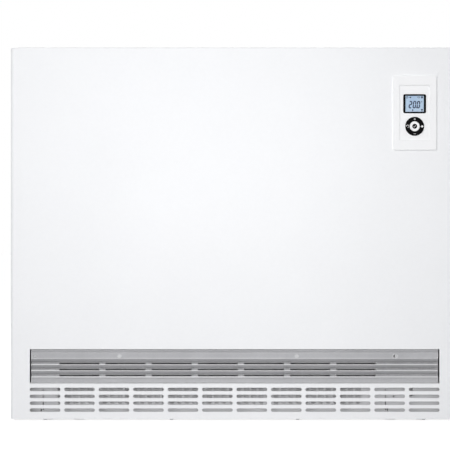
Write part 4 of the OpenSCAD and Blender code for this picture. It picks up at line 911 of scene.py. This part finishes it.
BOARD_FACE = 293.1  # the component side of the charge controller's board, along X


def standing(name, y, z, radius, height):
    """A can-shaped capacitor with a rolled neck, standing off the board."""
    piece = disc(name, (BOARD_FACE + height / 2, y, z), radius, height, 28, turn=ALONG_X)
    pick(piece, faces=lambda place, normal: normal.x > 0.9)
    bpy.ops.mesh.inset(thickness=0.8 * MM)
    bpy.ops.transform.translate(value=(-0.4 * MM, 0, 0))
    done()
    pick(piece, edges=lambda place, way: place.x < BOARD_FACE + 0.01)
    bpy.ops.mesh.bevel(offset=0.6 * MM, segments=2, affect="EDGES")
    done()
    ease(piece, 0.25, 2, angle=40)
    return piece


cans = [standing("can", FACE + 150 + 12 * k, 342, 4.6, 11) for k in range(3)]
cans += [standing("can", FACE + 152, 360, 6.2, 16)]
fit(joined("board_capacitors", cans), BODY_OF["charge_controller_board"], "plated_steel")


def chip(name, y, z, wide, tall):
    """A surface-mounted chip with a sloping face and a row of feet down each side."""
    piece = block(name, (BOARD_FACE, y - wide / 2, z - tall / 2),
                  (BOARD_FACE + 1.8, y + wide / 2, z + tall / 2))
    pick(piece, faces=lambda place, normal: normal.x > 0.9)
    bpy.ops.mesh.inset(thickness=0.35 * MM)
    bpy.ops.transform.translate(value=(0.3 * MM, 0, 0))
    done()
    ease(piece, 0.12, 1)
    feet = []
    pitch = 1.27
    for side in (-1, 1):
        foot = block("foot", (BOARD_FACE, y + side * (wide / 2 + 0.4) - 0.5, z - tall / 2 + 0.6),
                     (BOARD_FACE + 0.8, y + side * (wide / 2 + 0.4) + 0.5, z - tall / 2 + 1.0))
        pick(foot, points=lambda place: place.x > BOARD_FACE + 0.4 and
             (place.y - y) * side > wide / 2 + 0.4)
        bpy.ops.transform.translate(value=(-0.5 * MM, 0, 0))
        done()
        feet.append(repeated(foot, int((tall - 1) / pitch), (0, 0, pitch)))
    return piece, feet


bodies, feet = [], []
for place_y, place_z, wide, tall in ((142, 318, 7.6, 15.4), (170, 300, 3.9, 8.7),
                                     (182, 318, 3.9, 8.7)):
    body, pair = chip("chip", FACE + place_y, place_z, wide, tall)
    bodies.append(body)
    feet += pair
fit(joined("board_chips", bodies), BODY_OF["charge_controller_board"], "black_plastic")
fit(joined("board_chip_feet", feet), BODY_OF["charge_controller_board"], "plated_steel")

header = block("board_headers", (BOARD_FACE, FACE + 70, 372), (BOARD_FACE + 9, FACE + 77.5, 380))
pick(header, faces=lambda place, normal: normal.x > 0.9)
bpy.ops.mesh.inset(thickness=1.2 * MM)
bpy.ops.mesh.extrude_region_move(TRANSFORM_OT_translate={"value": (-6 * MM, 0, 0)})
done()
ease(header, 0.25, 1)
repeated(header, 10, (0, 8.2, 0))
fit(header, BODY_OF["charge_controller_board"], "pale_plastic")

# ---------------------------------------------------------------- motor winding

TURNS, TURN_PITCH = 47, 0.93
turn_of_wire = block("motor_winding", (165.2, FACE + 128.2, 92.7), (215.0, FACE + 129.1, 103.3))
pick(turn_of_wire, edges=lambda place, way: abs(way.y) > 0.9)
bpy.ops.mesh.bevel(offset=3.0 * MM, segments=4, affect="EDGES")
done()
ease(turn_of_wire, 0.3, 2, angle=40)
repeated(turn_of_wire, TURNS, (0, TURN_PITCH, 0))
fit(turn_of_wire, BODY_OF["fan_motor"], "bronze", finish=WINDING_COPPER)

# ---------------------------------------------------------------- element studs


def hex_nut(name, x, y, z, across=7.0, thick=3.2, bore=2.05):
    """A nut on an element's stud, its axis along X."""
    piece = disc(name, (x + thick / 2, y, z), across / math.sqrt(3), thick, 6, turn=ALONG_X)
    pick(piece, faces=lambda place, normal: abs(normal.x) > 0.9)
    bpy.ops.mesh.inset(thickness=0.5 * MM)
    bpy.ops.transform.resize(value=(1.12, 1, 1))
    done()
    ease(piece, 0.25, 2, angle=25)
    cut_out(piece, disc("bore", (x + thick / 2, y, z), bore, thick * 2, 24, turn=ALONG_X))
    return piece


STUD_X = 264                     # the nuts' seat along X
ELEMENT_ROWS = (87.15, 165.15)   # the elements' middles behind the face
HALF_HAIRPIN = 22                # from an element's middle to each of its legs
ELEMENT_LEVELS = (241.85, 385.85, 529.85)
first_nut = hex_nut("element_nut", 0, 0, 0)
nuts = [copied(first_nut, "element_nut", (STUD_X, FACE + row + side * HALF_HAIRPIN, level))
        for row in ELEMENT_ROWS for side in (-1, 1) for level in ELEMENT_LEVELS]
bpy.data.objects.remove(first_nut)
fit(joined("element_nuts", nuts), BODY_OF["heating_elements"], "plated_steel")

# ---------------------------------------------------------------- camera, lights and floor

PHOTO_SIDE = 450                 # pixels
MM_PER_PIXEL = 1.741
LEFT_PIXEL, TOP_PIXEL = 10.6, 47.4  # where the casing's left and top edges lie in the photograph
HALF_WIDTH, HEIGHT = 390, 650
CAMERA_AWAY = 3600
centre_x = (PHOTO_SIDE / 2 - LEFT_PIXEL) * MM_PER_PIXEL - HALF_WIDTH
centre_z = HEIGHT - (PHOTO_SIDE / 2 - TOP_PIXEL) * MM_PER_PIXEL

view = bpy.data.cameras.new("photo view")
view.lens = view.sensor_width * CAMERA_AWAY / (PHOTO_SIDE * MM_PER_PIXEL)
view.clip_end = 100
camera = bpy.data.objects.new("photo view", view)
camera.location = Vector((centre_x, FACE - CAMERA_AWAY, centre_z)) * MM
camera.rotation_euler = (math.pi / 2, 0, 0)
bpy.context.scene.collection.objects.link(camera)
bpy.context.scene.camera = camera


def lamp(name, place, target, size, watts):
    """A soft square lamp that points at a target."""
    light = bpy.data.lights.new(name, "AREA")
    light.size = size
    light.energy = watts
    thing = bpy.data.objects.new(name, light)
    thing.location = place
    thing.rotation_euler = (Vector(target) - Vector(place)).to_track_quat("-Z", "Y").to_euler()
    thing.visible_camera = False
    bpy.context.scene.collection.objects.link(thing)


lamp("high lamp", (-2.6, -3.3, 3.0), (-0.05, -0.12, 0.35), 1.6, 101)
lamp("near lamp", (-0.05, -1.3, 0.55), (-0.05, -0.12, 0.4), 0.6, 3.5)
lamp("low lamp", (0.1, -2.4, 0.25), (0.1, -0.12, 0.25), 0.8, 9.5)
lamp("side lamp", (2.4, -0.3, 1.2), (0.3, 0, 0.3), 1.2, 6.5)
lamp("back lamp", (0.6, 2.6, 1.8), (0, 0.1, 0.3), 1.6, 26)


def seen_directly(tree):
    """1 for the camera's own rays and for mirrored or refracted ones."""
    path = put(tree, "LightPath")
    return sums(tree, "MAXIMUM", path.outputs["Is Camera Ray"],
                sums(tree, "MAXIMUM", path.outputs["Is Glossy Ray"],
                     path.outputs["Is Transmission Ray"]))


world = bpy.data.worlds.new("studio")
bpy.context.scene.world = world
world.use_nodes = True
tree = world.node_tree
soft = put(tree, "Background", {"Color": (0.96, 0.98, 1.0, 1), "Strength": 0.25})
plain = put(tree, "Background", {"Color": (1, 1, 1, 1), "Strength": 1.0})
choice = put(tree, "MixShader", {0: seen_directly(tree), 1: soft.outputs[0], 2: plain.outputs[0]})
tree.links.new(choice.outputs[0], tree.nodes["World Output"].inputs["Surface"])

bpy.ops.object.select_all(action="DESELECT")
bpy.ops.mesh.primitive_plane_add(size=40, location=(0, 0, 0))
floor = bpy.context.object
floor.name = "floor"
pale = bpy.data.materials.new("pale floor")
pale.use_nodes = True
tree = pale.node_tree
shader = tree.nodes["Principled BSDF"]
mottle = put(tree, "TexNoise", {"Vector": place_text(tree), "Scale": 30.0, "Detail": 4.0})
tree.links.new(mixed(tree, mottle.outputs["Fac"], (0.4, 0.4, 0.405), (0.42, 0.42, 0.425)),
               shader.inputs["Base Color"])
shader.inputs["Roughness"].default_value = 0.7
shader.inputs["Specular IOR Level"].default_value = 0.2
glow = put(tree, "Emission", {"Color": (1, 1, 1, 1), "Strength": 0.8})
dark = put(tree, "Emission", {"Color": (0, 0, 0, 1), "Strength": 0.0})
lift = put(tree, "MixShader", {0: seen_directly(tree), 1: dark.outputs[0], 2: glow.outputs[0]})
both = put(tree, "AddShader", {0: shader.outputs[0], 1: lift.outputs[0]})
tree.links.new(both.outputs[0], tree.nodes["Material Output"].inputs["Surface"])
floor.data.materials.append(pale)

bpy.context.scene.view_settings.view_transform = "Standard"
